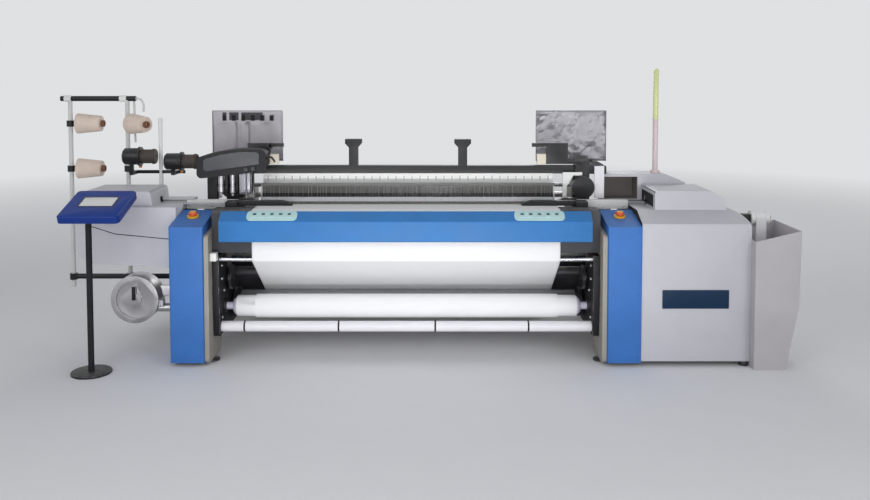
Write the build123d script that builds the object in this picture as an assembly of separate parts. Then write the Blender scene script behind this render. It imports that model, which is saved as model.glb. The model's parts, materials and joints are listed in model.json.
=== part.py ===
from build123d import *
import math
import os

# A rapier power loom in millimetres. X runs along the loom from the middle of the cloth,
# Y runs back from the front of the blue covers, and Z runs up from the floor.
# The last step moves the origin to the middle of the footprint.

# Weaving line
CLOTH_WIDTH = 1800.0
CLOTH_LEVEL = 897.0
CLOTH_THICKNESS = 1.2
FELL_Y = 320.0
RUN_GAP = 0.3
SEAT_GAP = 0.3
OVERRUN = 5.0

# Side frames
FRAME_WEB = 26.0
FRAME_THICKNESS = 125.0
FRAME_RIM = 34.0
FRAME_FRONT_Y = 8.0
FRAME_BACK_Y = 1500.0
FRAME_TOP_Z = 850.0
FRAME_BACK_TOP_Z = 640.0
FRAME_SHOULDER_Y = 640.0
FRAME_SHOULDER_RUN = 120.0
FRAME_ARCH_Z = 170.0
FRAME_ARCH_RUN = 90.0
FRAME_TOP_DROP = 90.0
FRAME_FOOT_LENGTH = 250.0
FRAME_CORNER_RADIUS = 28.0
FRAME_BOSS_WALL = 34.0
FOOT_HEIGHT = 20.0
FOOT_RADIUS = 42.0
FOOT_STUD_RADIUS = 13.0

# Cross beams
BEAM_WALL = 8.0
BREAST_FRONT_Y = 98.0
BREAST_DEPTH = 152.0
BREAST_HEIGHT = 250.0
BREAST_NOSE_RADIUS = 20.0
MAIN_BEAM_Y = 650.0
MAIN_BEAM_Z = 430.0
MAIN_BEAM_DEPTH = 160.0
MAIN_BEAM_HEIGHT = 200.0
REAR_BEAM_Y = 900.0
REAR_BEAM_Z = 265.0
REAR_BEAM_DEPTH = 110.0
REAR_BEAM_HEIGHT = 130.0

# Column covers
COLUMN_INNER_REACH = 28.0
COLUMN_WIDTH = 197.0
COLUMN_DEPTH = 290.0
COLUMN_FRONT_TOP_Z = 812.0
COLUMN_BACK_TOP_Z = 868.0
COLUMN_BOTTOM_Z = 24.0
COLUMN_EDGE_RADIUS = 12.0
COVER_WALL = 3.0
STOP_Y = 165.0
STOP_COLLAR_RADIUS = 34.0
STOP_COLLAR_HEIGHT = 12.0
STOP_STEM_RADIUS = 15.0
STOP_STEM_LENGTH = 24.0
STOP_CAP_RADIUS = 25.0
STOP_CAP_HEIGHT = 17.0
STOP_CAP_EDGE = 7.0
STOP_TRAVEL = 6.0

# Breast beam cover and keypads
APRON_HALF_LENGTH = 1071.0
APRON_FRONT_Y = 10.0
APRON_BOTTOM_Z = 723.0
APRON_BEND_Z = 842.0
APRON_REAR_Y = 78.0
APRON_TOP_Z = 896.0
APRON_LIP = 40.0
APRON_REAR_LIP = 14.0
APRON_BEND_RADIUS = 8.0
APRON_TAB_WIDTH = 50.0
APRON_TAB_INSET = 20.0
KEYPAD_X = 770.0
KEYPAD_LENGTH = 290.0
KEYPAD_WIDTH = 74.0
KEYPAD_THICKNESS = 6.0
KEYPAD_CORNER = 26.0
KEY_COUNT = 5
KEY_PITCH = 50.0
KEY_LENGTH = 30.0
KEY_WIDTH = 34.0
KEY_HEIGHT = 2.5

# Take-up, guide bar and cloth roll
BRACKET_THICKNESS = 40.0
BRACKET_MARGIN = 46.0
GUIDE_BAR_RADIUS = 13.0
GUIDE_BAR_Z = 604.0
TAKEUP_Y = 455.0
TAKEUP_Z = 268.0
TAKEUP_RADIUS = 70.0
TAKEUP_HALF_LENGTH = 1040.0
TAKEUP_END_GAP = 52.0
TAKEUP_JOURNAL = 24.0
PRESS_RADIUS = 30.0
PRESS_ANGLE = -50.0
PRESS_JOURNAL = 12.0
ROLL_Y = 225.0
ROLL_Z = 300.0
ROLL_RADIUS = 69.0
ROLL_CORE_RADIUS = 62.0
ROLL_HALF_LENGTH = 1036.0
ROLL_END_GAP = 56.0
ROLL_CORE_CHAMFER = 24.0
ROLL_JOURNAL = 22.0
TUBE_Y = 150.0
TUBE_Z = 196.0
TUBE_RADIUS = 31.0
TUBE_WALL = 5.0
TUBE_RING_X = (-955.0, -400.0, 170.0, 720.0)
TUBE_RING_LENGTH = 10.0
TUBE_RING_HEIGHT = 2.0

# Sley and reed
SLEY_Y = 415.0
SLEY_Z = 460.0
SLEY_SHAFT_RADIUS = 34.0
SLEY_SWORD_COUNT = 5
SLEY_SWORD_PITCH = 390.0
SLEY_SWORD_THICKNESS = 26.0
SLEY_SWORD_FOOT = 58.0
SLEY_SWORD_HEAD = 34.0
SLEY_BEAM_DEPTH = 52.0
SLEY_BEAM_HEIGHT = 74.0
SLEY_BEAM_TOP_Z = 838.0
REED_HALF_LENGTH = 907.0
REED_TOP_Z = 1014.0
REED_SLOT_BOTTOM_Z = 846.0
REED_SLOT_TOP_Z = 998.0
REED_GROOVE_DEPTH = 18.0
REED_THICKNESS = 8.0
DENT_DEPTH = 6.0
DENT_WIDTH = 2.0
WARP_COUNT = 100
WARP_GAP = 5.0
WARP_THICKNESS = 1.5

# Heald frames and their guides
HEALD_FRAME_COUNT = 4
HEALD_FRAME_Y = 486.0
HEALD_FRAME_PITCH = 15.0
HEALD_FRAME_THICKNESS = 9.0
HEALD_FRAME_HALF_LENGTH = 1056.0
HEALD_TOP_Z = 1116.0
HEALD_TOP_RAIL = 50.0
HEALD_BOTTOM_Z = 690.0
HEALD_BOTTOM_RAIL = 42.0
HEALD_STAY = 24.0
HEALD_WIDTH = 2.0
HEALD_THICKNESS = 2.0
BLADE_X = 342.0
BLADE_HEIGHT = 165.0
BLADE_WIDTH = 56.0
BLADE_HEAD_WIDTH = 104.0
BLADE_HEAD_HEIGHT = 26.0
LIFT_ROD_X = 620.0
LIFT_ROD_WIDTH = 14.0
LIFT_ROD_LENGTH = 130.0
GUIDE_SLOT_DEPTH = 12.0
GUIDE_POST_BOTTOM_Z = 600.0
GUIDE_POST_TOP_Z = 1150.0
GUIDE_POST_MARGIN = 18.0
GUIDE_ARM_OUT = 105.0
GUIDE_ARM_HEIGHT = 50.0
GUIDE_ARM_WIDTH = 56.0
GUIDE_FITTING_GAP = 3.0
GUIDE_DISC_RADIUS = 70.0
GUIDE_DISC_LENGTH = 36.0
GUIDE_DISC_Z = 985.0
GUIDE_PANEL_WIDTH = 60.0
GUIDE_PANEL_THICKNESS = 12.0
GUIDE_PANEL_BOTTOM_Z = 917.0
GUIDE_LEVER_REACH = 81.0
GUIDE_LEVER_WIDTH = 25.0
GUIDE_LEVER_BAR = 20.0
GUIDE_LEVER_THICKNESS = 14.0
GUIDE_LEVER_BOTTOM_Z = 917.0
GUIDE_LEVER_LAP = 40.0
GUIDE_GUSSET_WIDTH = 40.0
GUIDE_GUSSET_HEIGHT = 70.0
GUIDE_BRACKET_REACH = 187.0
GUIDE_BRACKET_WIDTH = 138.0
GUIDE_BRACKET_BAR = 21.0
GUIDE_BRACKET_TOP_Z = 1236.0
GUIDE_BRACKET_ARM = 87.0
GUIDE_BRACKET_ARM_HEIGHT = 24.0
GUIDE_BLOCK_WIDTH = 56.0
GUIDE_BLOCK_HEIGHT = 63.0
GUIDE_BLOCK_DEPTH = 20.0
GUARD_Y = 780.0
GUARD_INNER_INSET = 300.0
GUARD_OUTER_REACH = 158.0
GUARD_BOTTOM_Z = 1118.0
GUARD_TOP_Z = 1450.0
GUARD_WALL = 2.5
GUARD_FLANGE = 34.0
GUARD_SLOT_COUNT = 6
GUARD_SLOT_WIDTH = 26.0
GUARD_SLOT_HEIGHT = 34.0
GUARD_SLOT_PITCH = 62.0
GUARD_POST_WIDTH = 30.0
GUARD_POST_TOP_Z = 1400.0

# Rapiers, their rails and wheels
RAPIER_Y = 378.0
TAPE_WIDTH = 26.0
TAPE_THICKNESS = 3.0
TAPE_LEVEL = 912.0
TAPE_TAIL_REACH = 718.0
RAPIER_TIP_X = 916.0
RAPIER_HEAD_LENGTH = 120.0
RAPIER_HEAD_WIDTH = 40.0
RAPIER_HEAD_BOTTOM_Z = 904.0
RAPIER_HEAD_TOP_Z = 930.0
RAPIER_NOSE = 34.0
RAPIER_JAW_WIDTH = 8.0
RAPIER_JAW_LENGTH = 60.0
RAIL_INNER_INSET = 90.0
RAIL_OUTER_REACH = 218.0
RAIL_WALL = 9.0
RAIL_HEIGHT = 26.0
RAIL_LIP = 6.0
RAIL_PEDESTAL_LENGTH = 100.0
WHEEL_REACH = 558.0
WHEEL_RADIUS = 150.0
WHEEL_RIM = 18.0
WHEEL_HUB_RADIUS = 36.0
WHEEL_WEB = 10.0
WHEEL_HOLE_COUNT = 6
WHEEL_HOLE_RADIUS = 26.0
WHEEL_SHAFT_RADIUS = 18.0
WHEEL_SHAFT_LENGTH = 120.0
GEARBOX_SIZE = 170.0
GEARBOX_DEPTH = 130.0
GEARBOX_ARM = 60.0

# Left housing
HOUSING_END_REACH = 815.0
HOUSING_FRONT_Y = 150.0
HOUSING_BACK_Y = 620.0
HOUSING_BOTTOM_Z = 543.0
HOUSING_END_BOTTOM_Z = 640.0
HOUSING_CHAMFER_REACH = 748.0
HOUSING_CHAMFER_Z = 572.0
HOUSING_DECK_Z = 903.0
HOUSING_RADIUS = 24.0
HOOD_INNER_REACH = 376.0
HOOD_FRONT_Y = 190.0
HOOD_BACK_Y = 520.0
HOOD_TOP_Z = 992.0
HOOD_SLOPE = 24.0
HOOD_RADIUS = 20.0
DECK_INNER_INSET = 32.0
DECK_DEPTH = 44.0
DECK_FRONT_Y = 300.0

# Drive cabinet and right hoods
CABINET_END_REACH = 853.0
CABINET_FRONT_Y = 15.0
CABINET_BACK_Y = 700.0
CABINET_BOTTOM_Z = 30.0
CABINET_TOP_Z = 889.0
CABINET_RADIUS = 85.0
CABINET_FOOT_RADIUS = 26.0
CABINET_SKIRT_Z = 828.0
CABINET_GROOVE = 4.0
RIGHT_HOOD_INNER_REACH = 330.0
RIGHT_HOOD_FRONT_Y = 150.0
RIGHT_HOOD_BACK_Y = 485.0
RIGHT_HOOD_TOP_Z = 1000.0
RIGHT_HOOD_SHOULDER_REACH = 662.0
RIGHT_HOOD_HIP_REACH = 738.0
RIGHT_HOOD_HIP_Z = 958.0
RIGHT_HOOD_END_REACH = 752.0
REAR_BOX_INNER_REACH = 84.0
REAR_BOX_END_REACH = 608.0
REAR_BOX_FRONT_Y = 500.0
REAR_BOX_TOP_Z = 1060.0
REAR_BOX_END_Z = 1010.0
REAR_BOX_SHOULDER_REACH = 482.0
REAR_BOX_RECESS_END_REACH = 308.0
REAR_BOX_RECESS_DEPTH = 140.0
REAR_BOX_WALL = 16.0
SIGNAL_REACH = 443.0
SIGNAL_Y = 600.0
SIGNAL_RADIUS = 17.0
SIGNAL_SPLIT_Z = 1400.0
SIGNAL_TOP_Z = 1722.0
SIGNAL_BASE_RADIUS = 30.0
SIGNAL_BASE_HEIGHT = 16.0
SIGNAL_RING = 2.5
SIGNAL_RING_HEIGHT = 8.0

# Drives
MOTOR_Y = 565.0
MOTOR_Z = 336.0
MOTOR_RADIUS = 104.0
MOTOR_LENGTH = 420.0
MOTOR_FLANGE_RADIUS = 118.0
MOTOR_FLANGE_LENGTH = 24.0
MOTOR_FIN_COUNT = 8
MOTOR_FIN_PITCH = 40.0
MOTOR_FIN_WIDTH = 8.0
MOTOR_FIN_HEIGHT = 10.0
LETOFF_LENGTH = 240.0
LETOFF_RADIUS = 70.0
LETOFF_Y = 1180.0
LETOFF_Z = 420.0

# Waste selvedge roller, ribbon and bin
WASTE_ROLLER_Y = 250.0
WASTE_ROLLER_Z = 828.0
WASTE_ROLLER_RADIUS = 42.0
WASTE_ROLLER_REACH = 71.0
WASTE_ROLLER_LENGTH = 110.0
WASTE_SHAFT_RADIUS = 9.0
WASTE_SHAFT_END = 12.0
WASTE_ARM_WIDTH = 44.0
WASTE_ARM_LENGTH = 58.0
RIBBON_WIDTH = 62.0
RIBBON_BEND_RELIEF = 0.03
RIBBON_BACK_Z = 770.0
RIBBON_END_Z = 560.0
BIN_GAP = 0.5
BIN_TOP_REACH = 261.0
BIN_KNEE_REACH = 252.0
BIN_KNEE_Z = 365.0
BIN_BOTTOM_REACH = 182.0
BIN_FRONT_Y = -50.0
BIN_BACK_Y = 350.0
BIN_INNER_TOP_Z = 738.0
BIN_OUTER_TOP_Z = 800.0
BIN_WALL = 4.0
BIN_CORNER = 20.0

# Creel, cones and feeders
CREEL_Y = 700.0
CREEL_LEFT_REACH = 1066.0
CREEL_RIGHT_REACH = 696.0
CREEL_TOP_Z = 1530.0
CREEL_BOTTOM_Z = 296.0
CREEL_ARM_Z = 366.0
CREEL_BAR_LEFT_REACH = 1125.0
CREEL_BAR_RIGHT_REACH = 640.0
CREEL_POLE_RADIUS = 14.0
CREEL_BAR_RADIUS = 17.0
CREEL_CLAMP_RADIUS = 25.0
CREEL_CLAMP_HEIGHT = 40.0
CREEL_LOW_CONE_Z = 1075.0
CREEL_HIGH_CONE_Z = 1368.0
PEG_RADIUS = 9.0
PEG_LENGTH = 205.0
CONE_START = 48.0
CONE_LENGTH = 152.0
CONE_BASE_RADIUS = 66.0
CONE_TIP_RADIUS = 50.0
CONE_CORE_RADIUS = 21.0
CONE_CORE_STICKOUT = 20.0
CONE_TURN = -38.0
FEEDER_REACHES = (653.0, 393.0)
FEEDER_Z = (1172.0, 1140.0)
FEEDER_Y = 505.0
FEEDER_BODY_RADIUS = 52.0
FEEDER_BODY_LENGTH = 96.0
FEEDER_DISC_RADIUS = 60.0
FEEDER_DISC_LENGTH = 14.0
FEEDER_DRUM_RADIUS = 44.0
FEEDER_DRUM_LENGTH = 92.0
FEEDER_SHAFT_RADIUS = 10.0
FEEDER_EYE_ARM = 12.0
FEEDER_LIP = 4.0
STAND_REACH = 450.0
STAND_Y = 597.0
STAND_TOP_Z = 1410.0
STAND_RADIUS = 13.0
STAND_RAIL_RADIUS = 11.0
STAND_RAIL_Z = 1065.0

# Weft presenter
PRESENTER_INNER_INSET = 270.0
PRESENTER_OUTER_REACH = 150.0
PRESENTER_Y = 385.0
PRESENTER_DEPTH = 110.0
PRESENTER_INNER_Z = 1226.0
PRESENTER_OUTER_Z = 1178.0
PRESENTER_HEIGHT = 128.0
PRESENTER_CORNER = 30.0
PRESENTER_BULGE = 26.0
PRESENTER_LEG_REACH = 74.0
PRESENTER_LEG_WIDTH = 60.0
PRESENTER_LEG_DEPTH = 36.0
NEEDLE_COUNT = 2
NEEDLE_RADIUS = 3.0
NEEDLE_LENGTH = 170.0
NEEDLE_HUB_RADIUS = 12.0
NEEDLE_HUB_LENGTH = 14.0
NEEDLE_SPACING = 44.0
NEEDLE_PIVOT_INSET = 73.0

# Temples
TEMPLE_INNER_X = 690.0
TEMPLE_OUTER_X = 1080.0
TEMPLE_Y = 276.0
TEMPLE_DEPTH = 44.0
TEMPLE_HEIGHT = 30.0
TEMPLE_NOSE = 60.0
TEMPLE_FOOT_LENGTH = 70.0

# Warp side
STAND_PLATE = 30.0
STAND_PLATE_FRONT_Y = 840.0
STAND_PLATE_BACK_Y = 1280.0
STAND_PLATE_TOP_Z = 912.0
STAND_PLATE_BOTTOM_Z = 560.0
BACKREST_Y = 1200.0
BACKREST_RADIUS = 60.0
BACKREST_JOURNAL = 20.0
BACKREST_HALF_LENGTH = 1000.0
BACKREST_END_GAP = 102.0
WARP_BEAM_Y = 1400.0
WARP_BEAM_Z = 450.0
WARP_BEAM_RADIUS = 300.0
WARP_BEAM_JOURNAL = 40.0
FLANGE_RADIUS = 365.0
FLANGE_THICKNESS = 26.0
FLANGE_RIM = 40.0
FLANGE_HUB_RADIUS = 130.0
FLANGE_WEB = 12.0
FLANGE_SPOKE_COUNT = 8
FLANGE_HOLE_RADIUS = 44.0
WARP_FRONT_MARGIN = 6.0
DROP_BAR_Y = (900.0, 962.0)
DROP_BAR_Z = 930.0
DROP_BAR_HEIGHT = 18.0
DROP_BAR_WIDTH = 10.0
DROP_WIRE_STEP = 4
DROP_WIRE_DROP = 70.0
DROP_WIRE_WIDTH = 12.0
DROP_WIRE_THICKNESS = 1.6
WARP_SLOT_END_Y = 1000.0

# Operator terminal
TERMINAL_REACH = 585.0
TERMINAL_Y = -94.0
TERMINAL_Z = 946.0
TERMINAL_WIDTH = 340.0
TERMINAL_LENGTH = 325.0
TERMINAL_THICKNESS = 42.0
TERMINAL_TILT = 18.5
TERMINAL_CORNER = 26.0
TERMINAL_EDGE = 6.0
SCREEN_WIDTH = 186.0
SCREEN_LENGTH = 108.0
SCREEN_DEPTH = 5.0
SCREEN_SHIFT = 20.0
SCREEN_GAP = 0.4
TERMINAL_LUG = 26.0
TERMINAL_LUG_GAP = 40.0
TERMINAL_LUG_THICKNESS = 12.0
TERMINAL_PIN_RADIUS = 8.0
TERMINAL_DROP = 46.0
POST_REACH = 640.0
POST_RADIUS = 17.0
POST_BASE_RADIUS = 110.0
POST_BASE_HEIGHT = 12.0
POST_HEAD_RADIUS = 20.0
POST_TIE_Z = 870.0
POST_TIE_RADIUS = 12.0

# Suction blower
BLOWER_REACH = 541.0
BLOWER_Z = 306.0
BLOWER_FRONT_Y = 330.0
BLOWER_LENGTH = 130.0
BLOWER_RADIUS = 146.0
BLOWER_FACE_RADIUS = 112.0
BLOWER_FACE_DEPTH = 14.0
BLOWER_HUB_RADIUS = 40.0
BLOWER_MOTOR_RADIUS = 74.0
BLOWER_MOTOR_LENGTH = 120.0
BLOWER_ARM_HEIGHT = 64.0
BLOWER_ARM_DEPTH = 40.0
BLOWER_HANDLE_WIDTH = 22.0
BLOWER_HANDLE_LENGTH = 84.0
BLOWER_HANDLE_DEPTH = 16.0
PIPE_RADIUS = 26.0
PIPE_WALL = 4.0
PIPE_DROP = 90.0

# Places across the machine: the frames stand clear of the longest roller, and the rest follows them.
FRAME_INNER_X = max(
    TAKEUP_HALF_LENGTH + TAKEUP_END_GAP + BRACKET_THICKNESS,
    ROLL_HALF_LENGTH + ROLL_END_GAP + BRACKET_THICKNESS,
    BACKREST_HALF_LENGTH + BACKREST_END_GAP + STAND_PLATE,
)
COLUMN_INNER_X = FRAME_INNER_X + COLUMN_INNER_REACH
GUARD_OUTER_X = FRAME_INNER_X + GUARD_OUTER_REACH
TAPE_TAIL_X = FRAME_INNER_X + TAPE_TAIL_REACH
RAIL_OUTER_X = FRAME_INNER_X + RAIL_OUTER_REACH
WHEEL_X = FRAME_INNER_X + WHEEL_REACH
HOUSING_END_X = FRAME_INNER_X + HOUSING_END_REACH
HOUSING_CHAMFER_X = FRAME_INNER_X + HOUSING_CHAMFER_REACH
HOOD_INNER_X = FRAME_INNER_X + HOOD_INNER_REACH
CABINET_END_X = FRAME_INNER_X + CABINET_END_REACH
RIGHT_HOOD_INNER_X = FRAME_INNER_X + RIGHT_HOOD_INNER_REACH
RIGHT_HOOD_SHOULDER_X = FRAME_INNER_X + RIGHT_HOOD_SHOULDER_REACH
RIGHT_HOOD_HIP_X = FRAME_INNER_X + RIGHT_HOOD_HIP_REACH
RIGHT_HOOD_END_X = FRAME_INNER_X + RIGHT_HOOD_END_REACH
REAR_BOX_INNER_X = FRAME_INNER_X + REAR_BOX_INNER_REACH
REAR_BOX_END_X = FRAME_INNER_X + REAR_BOX_END_REACH
REAR_BOX_SHOULDER_X = FRAME_INNER_X + REAR_BOX_SHOULDER_REACH
REAR_BOX_RECESS_END_X = FRAME_INNER_X + REAR_BOX_RECESS_END_REACH
SIGNAL_X = FRAME_INNER_X + SIGNAL_REACH
CREEL_LEFT_X = -FRAME_INNER_X - CREEL_LEFT_REACH
CREEL_RIGHT_X = -FRAME_INNER_X - CREEL_RIGHT_REACH
CREEL_BAR_LEFT_X = -FRAME_INNER_X - CREEL_BAR_LEFT_REACH
CREEL_BAR_RIGHT_X = -FRAME_INNER_X - CREEL_BAR_RIGHT_REACH
STAND_X = -FRAME_INNER_X - STAND_REACH
PRESENTER_OUTER_X = -FRAME_INNER_X - PRESENTER_OUTER_REACH
PRESENTER_LEG_X = -FRAME_INNER_X - PRESENTER_LEG_REACH
TERMINAL_X = -FRAME_INNER_X - TERMINAL_REACH
POST_X = -FRAME_INNER_X - POST_REACH
BLOWER_X = -FRAME_INNER_X - BLOWER_REACH
GUARD_INNER_X = FRAME_INNER_X - GUARD_INNER_INSET
RAIL_INNER_X = FRAME_INNER_X - RAIL_INNER_INSET
DECK_INNER_X = FRAME_INNER_X - DECK_INNER_INSET
PRESENTER_INNER_X = -FRAME_INNER_X + PRESENTER_INNER_INSET
WASTE_ROLLER_X = CABINET_END_X + WASTE_ROLLER_REACH
BIN_TOP_X = CABINET_END_X + BIN_TOP_REACH
BIN_KNEE_X = CABINET_END_X + BIN_KNEE_REACH
BIN_BOTTOM_X = CABINET_END_X + BIN_BOTTOM_REACH
FEEDER_X = tuple(-FRAME_INNER_X - reach for reach in FEEDER_REACHES)


def block(x0, x1, y0, y1, z0, z1):
    """A box between two corners."""
    middle = Pos((x0 + x1) / 2, (y0 + y1) / 2, (z0 + z1) / 2)
    return middle * Box(abs(x1 - x0), abs(y1 - y0), abs(z1 - z0))


def rod_x(x0, x1, y, z, radius):
    """A round bar along X."""
    return Pos((x0 + x1) / 2, y, z) * Rot(0, 90, 0) * Cylinder(radius, abs(x1 - x0))


def rod_y(x, y0, y1, z, radius):
    """A round bar along Y."""
    return Pos(x, (y0 + y1) / 2, z) * Rot(90, 0, 0) * Cylinder(radius, abs(y1 - y0))


def rod_z(x, y, z0, z1, radius):
    """A round bar along Z."""
    return Pos(x, y, (z0 + z1) / 2) * Cylinder(radius, abs(z1 - z0))


def outline(points, radius=0.0):
    """A flat face from its corner points, all rounded alike."""
    face = make_face(Polyline(*points, close=True))
    if radius:
        face = fillet(face.vertices(), radius)
    return face


def prism_x(face, x0, x1):
    """A face drawn in Y and Z, pushed along X."""
    return extrude(Plane.YZ.offset(x0) * face, amount=x1 - x0)


def prism_y(face, y0, y1):
    """A face drawn in X and Z, pushed along Y."""
    return extrude(Plane.XZ.offset(-y1) * face, amount=y1 - y0)


def strip(points, radii, thickness):
    """A bent strip of even thickness along a path of points, as a flat face."""
    path = [Vector(*point) for point in points]
    runs = [(b - a).normalized() for a, b in zip(path, path[1:])]
    sides = []
    for side in (thickness / 2, -thickness / 2):
        corners = [path[0] + runs[0].rotate(Axis.Z, 90) * side]
        rounds = []
        for i in range(1, len(path) - 1):
            before = runs[i - 1].rotate(Axis.Z, 90)
            after = runs[i].rotate(Axis.Z, 90)
            corners.append(path[i] + (before + after) * (side / (1 + before.dot(after))))
            turn = math.copysign(1, runs[i - 1].cross(runs[i]).Z)
            rounds.append(radii[i - 1] - turn * side)
        corners.append(path[-1] + runs[-1].rotate(Axis.Z, 90) * side)
        sides.append(FilletPolyline(*corners, radius=rounds))
    first, second = sides
    ends = [Line(first @ 1, second @ 1), Line(second @ 0, first @ 0)]
    return make_face(first.edges() + second.edges() + ends)


def both_sides(shape):
    """A left piece and its mirror image on the right, in that order."""
    return [mirror(shape, about=Plane.YZ), shape]


def warp_gaps():
    """X of the middle of each gap between neighbouring bands of warp."""
    pitch = CLOTH_WIDTH / WARP_COUNT
    return [i * pitch - CLOTH_WIDTH / 2 for i in range(1, WARP_COUNT)]


def frame_outline():
    """Side view of a cast side frame."""
    inner_foot = FRAME_FRONT_Y + FRAME_FOOT_LENGTH
    outer_foot = FRAME_BACK_Y - FRAME_FOOT_LENGTH
    points = [
        (FRAME_FRONT_Y, FOOT_HEIGHT),
        (inner_foot, FOOT_HEIGHT),
        (inner_foot + FRAME_ARCH_RUN, FRAME_ARCH_Z),
        (outer_foot - FRAME_ARCH_RUN, FRAME_ARCH_Z),
        (outer_foot, FOOT_HEIGHT),
        (FRAME_BACK_Y, FOOT_HEIGHT),
        (FRAME_BACK_Y, FRAME_BACK_TOP_Z),
        (FRAME_SHOULDER_Y + FRAME_SHOULDER_RUN, FRAME_BACK_TOP_Z),
        (FRAME_SHOULDER_Y, FRAME_TOP_Z),
        (FRAME_FRONT_Y, FRAME_TOP_Z - FRAME_TOP_DROP),
    ]
    return outline(points, FRAME_CORNER_RADIUS)


def frame_top_z(y):
    """Height of a side frame's sloping top edge at a given depth."""
    share = (y - FRAME_FRONT_Y) / (FRAME_SHOULDER_Y - FRAME_FRONT_Y)
    return FRAME_TOP_Z - FRAME_TOP_DROP * (1 - share)


def side_frame():
    """The right cast side frame: a web, a raised rim behind the cover, and bearing bosses."""
    outer_x = FRAME_INNER_X + FRAME_THICKNESS
    step_y = COLUMN_DEPTH + SEAT_GAP
    face = frame_outline()
    web = prism_x(face, FRAME_INNER_X, FRAME_INNER_X + FRAME_WEB)
    full = prism_x(face, FRAME_INNER_X, outer_x)
    pocket = prism_x(offset(face, -FRAME_RIM), FRAME_INNER_X + FRAME_WEB, outer_x + OVERRUN)
    front = block(FRAME_INNER_X + FRAME_WEB, outer_x + OVERRUN, FRAME_FRONT_Y - OVERRUN, step_y,
                  FOOT_HEIGHT - OVERRUN, FRAME_TOP_Z + OVERRUN)
    casting = full - pocket - front + web
    bearings = [
        (SLEY_Y, SLEY_Z, SLEY_SHAFT_RADIUS),
        (WARP_BEAM_Y, WARP_BEAM_Z, WARP_BEAM_JOURNAL),
    ]
    for y, z, radius in bearings:
        casting += rod_x(FRAME_INNER_X, outer_x, y, z, radius + FRAME_BOSS_WALL)
    for y, z, radius in bearings:
        casting -= rod_x(FRAME_INNER_X - OVERRUN, outer_x + OVERRUN, y, z, radius + RUN_GAP)
    return casting


def levelling_feet():
    """A foot under each end of both side frames and under the cabinet's corners."""
    feet = []
    front = (FRAME_INNER_X + FRAME_WEB / 2, FRAME_FRONT_Y + FRAME_FOOT_LENGTH / 2)
    back = (FRAME_INNER_X + FRAME_THICKNESS / 2, FRAME_BACK_Y - FRAME_FOOT_LENGTH / 2)
    for x, y in (front, back):
        pad = rod_z(x, y, 0, FOOT_HEIGHT / 2, FOOT_RADIUS)
        feet += both_sides(pad + rod_z(x, y, 0, FOOT_HEIGHT, FOOT_STUD_RADIUS))
    for y in (CABINET_FRONT_Y + CABINET_FOOT_RADIUS, CABINET_BACK_Y - CABINET_FOOT_RADIUS):
        x = CABINET_END_X - CABINET_FOOT_RADIUS
        feet.append(rod_z(x, y, 0, CABINET_BOTTOM_Z, CABINET_FOOT_RADIUS))
    return feet


def box_beam(y0, y1, z0, z1, radius=0.0):
    """A hollow box beam between the side frames."""
    half = FRAME_INNER_X
    corners = [(y0, z0), (y1, z0), (y1, z1), (y0, z1)]
    face = make_face(Polyline(*corners, close=True))
    if radius:
        face = fillet(face.vertices().group_by(Axis.Y)[-1], radius)
    hollow = [
        (y0 + BEAM_WALL, z0 + BEAM_WALL),
        (y1 - BEAM_WALL, z0 + BEAM_WALL),
        (y1 - BEAM_WALL, z1 - BEAM_WALL - radius),
        (y0 + BEAM_WALL, z1 - BEAM_WALL - radius),
    ]
    return prism_x(face, -half, half) - prism_x(outline(hollow), -half - OVERRUN, half + OVERRUN)


def cross_beams():
    """The breast beam, the main beam under the harness and the rear beam."""
    top = CLOTH_LEVEL - CLOTH_THICKNESS - RUN_GAP
    breast = box_beam(BREAST_FRONT_Y, BREAST_FRONT_Y + BREAST_DEPTH, top - BREAST_HEIGHT, top,
                      BREAST_NOSE_RADIUS)
    main = box_beam(MAIN_BEAM_Y - MAIN_BEAM_DEPTH / 2, MAIN_BEAM_Y + MAIN_BEAM_DEPTH / 2,
                    MAIN_BEAM_Z - MAIN_BEAM_HEIGHT / 2, MAIN_BEAM_Z + MAIN_BEAM_HEIGHT / 2)
    rear = box_beam(REAR_BEAM_Y - REAR_BEAM_DEPTH / 2, REAR_BEAM_Y + REAR_BEAM_DEPTH / 2,
                    REAR_BEAM_Z - REAR_BEAM_HEIGHT / 2, REAR_BEAM_Z + REAR_BEAM_HEIGHT / 2)
    return [breast, main, rear]


def column_cover():
    """The right blue cover: front, two sides and a sloping top, open behind and below."""
    x0 = COLUMN_INNER_X
    x1 = COLUMN_INNER_X + COLUMN_WIDTH
    side = [(0, COLUMN_BOTTOM_Z), (COLUMN_DEPTH, COLUMN_BOTTOM_Z), (COLUMN_DEPTH, COLUMN_BACK_TOP_Z),
            (0, COLUMN_FRONT_TOP_Z)]
    outer = prism_x(outline(side), x0, x1)
    front_edges = outer.edges().filter_by(Axis.Z).group_by(Axis.Y)[0]
    outer = fillet(front_edges, COLUMN_EDGE_RADIUS)
    inside = [(COVER_WALL, COLUMN_BOTTOM_Z - OVERRUN), (COLUMN_DEPTH + OVERRUN, COLUMN_BOTTOM_Z - OVERRUN),
              (COLUMN_DEPTH + OVERRUN, COLUMN_BACK_TOP_Z - COVER_WALL),
              (COLUMN_DEPTH, COLUMN_BACK_TOP_Z - COVER_WALL),
              (COVER_WALL, COLUMN_FRONT_TOP_Z - COVER_WALL)]
    inner = prism_x(outline(inside), x0 + COVER_WALL, x1 - COVER_WALL)
    inner = fillet(inner.edges().filter_by(Axis.Z).group_by(Axis.Y)[0], COLUMN_EDGE_RADIUS - COVER_WALL)
    hole = stop_plane() * Cylinder(STOP_STEM_RADIUS + RUN_GAP, STOP_STEM_LENGTH * 2)
    return outer - inner - hole


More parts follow.
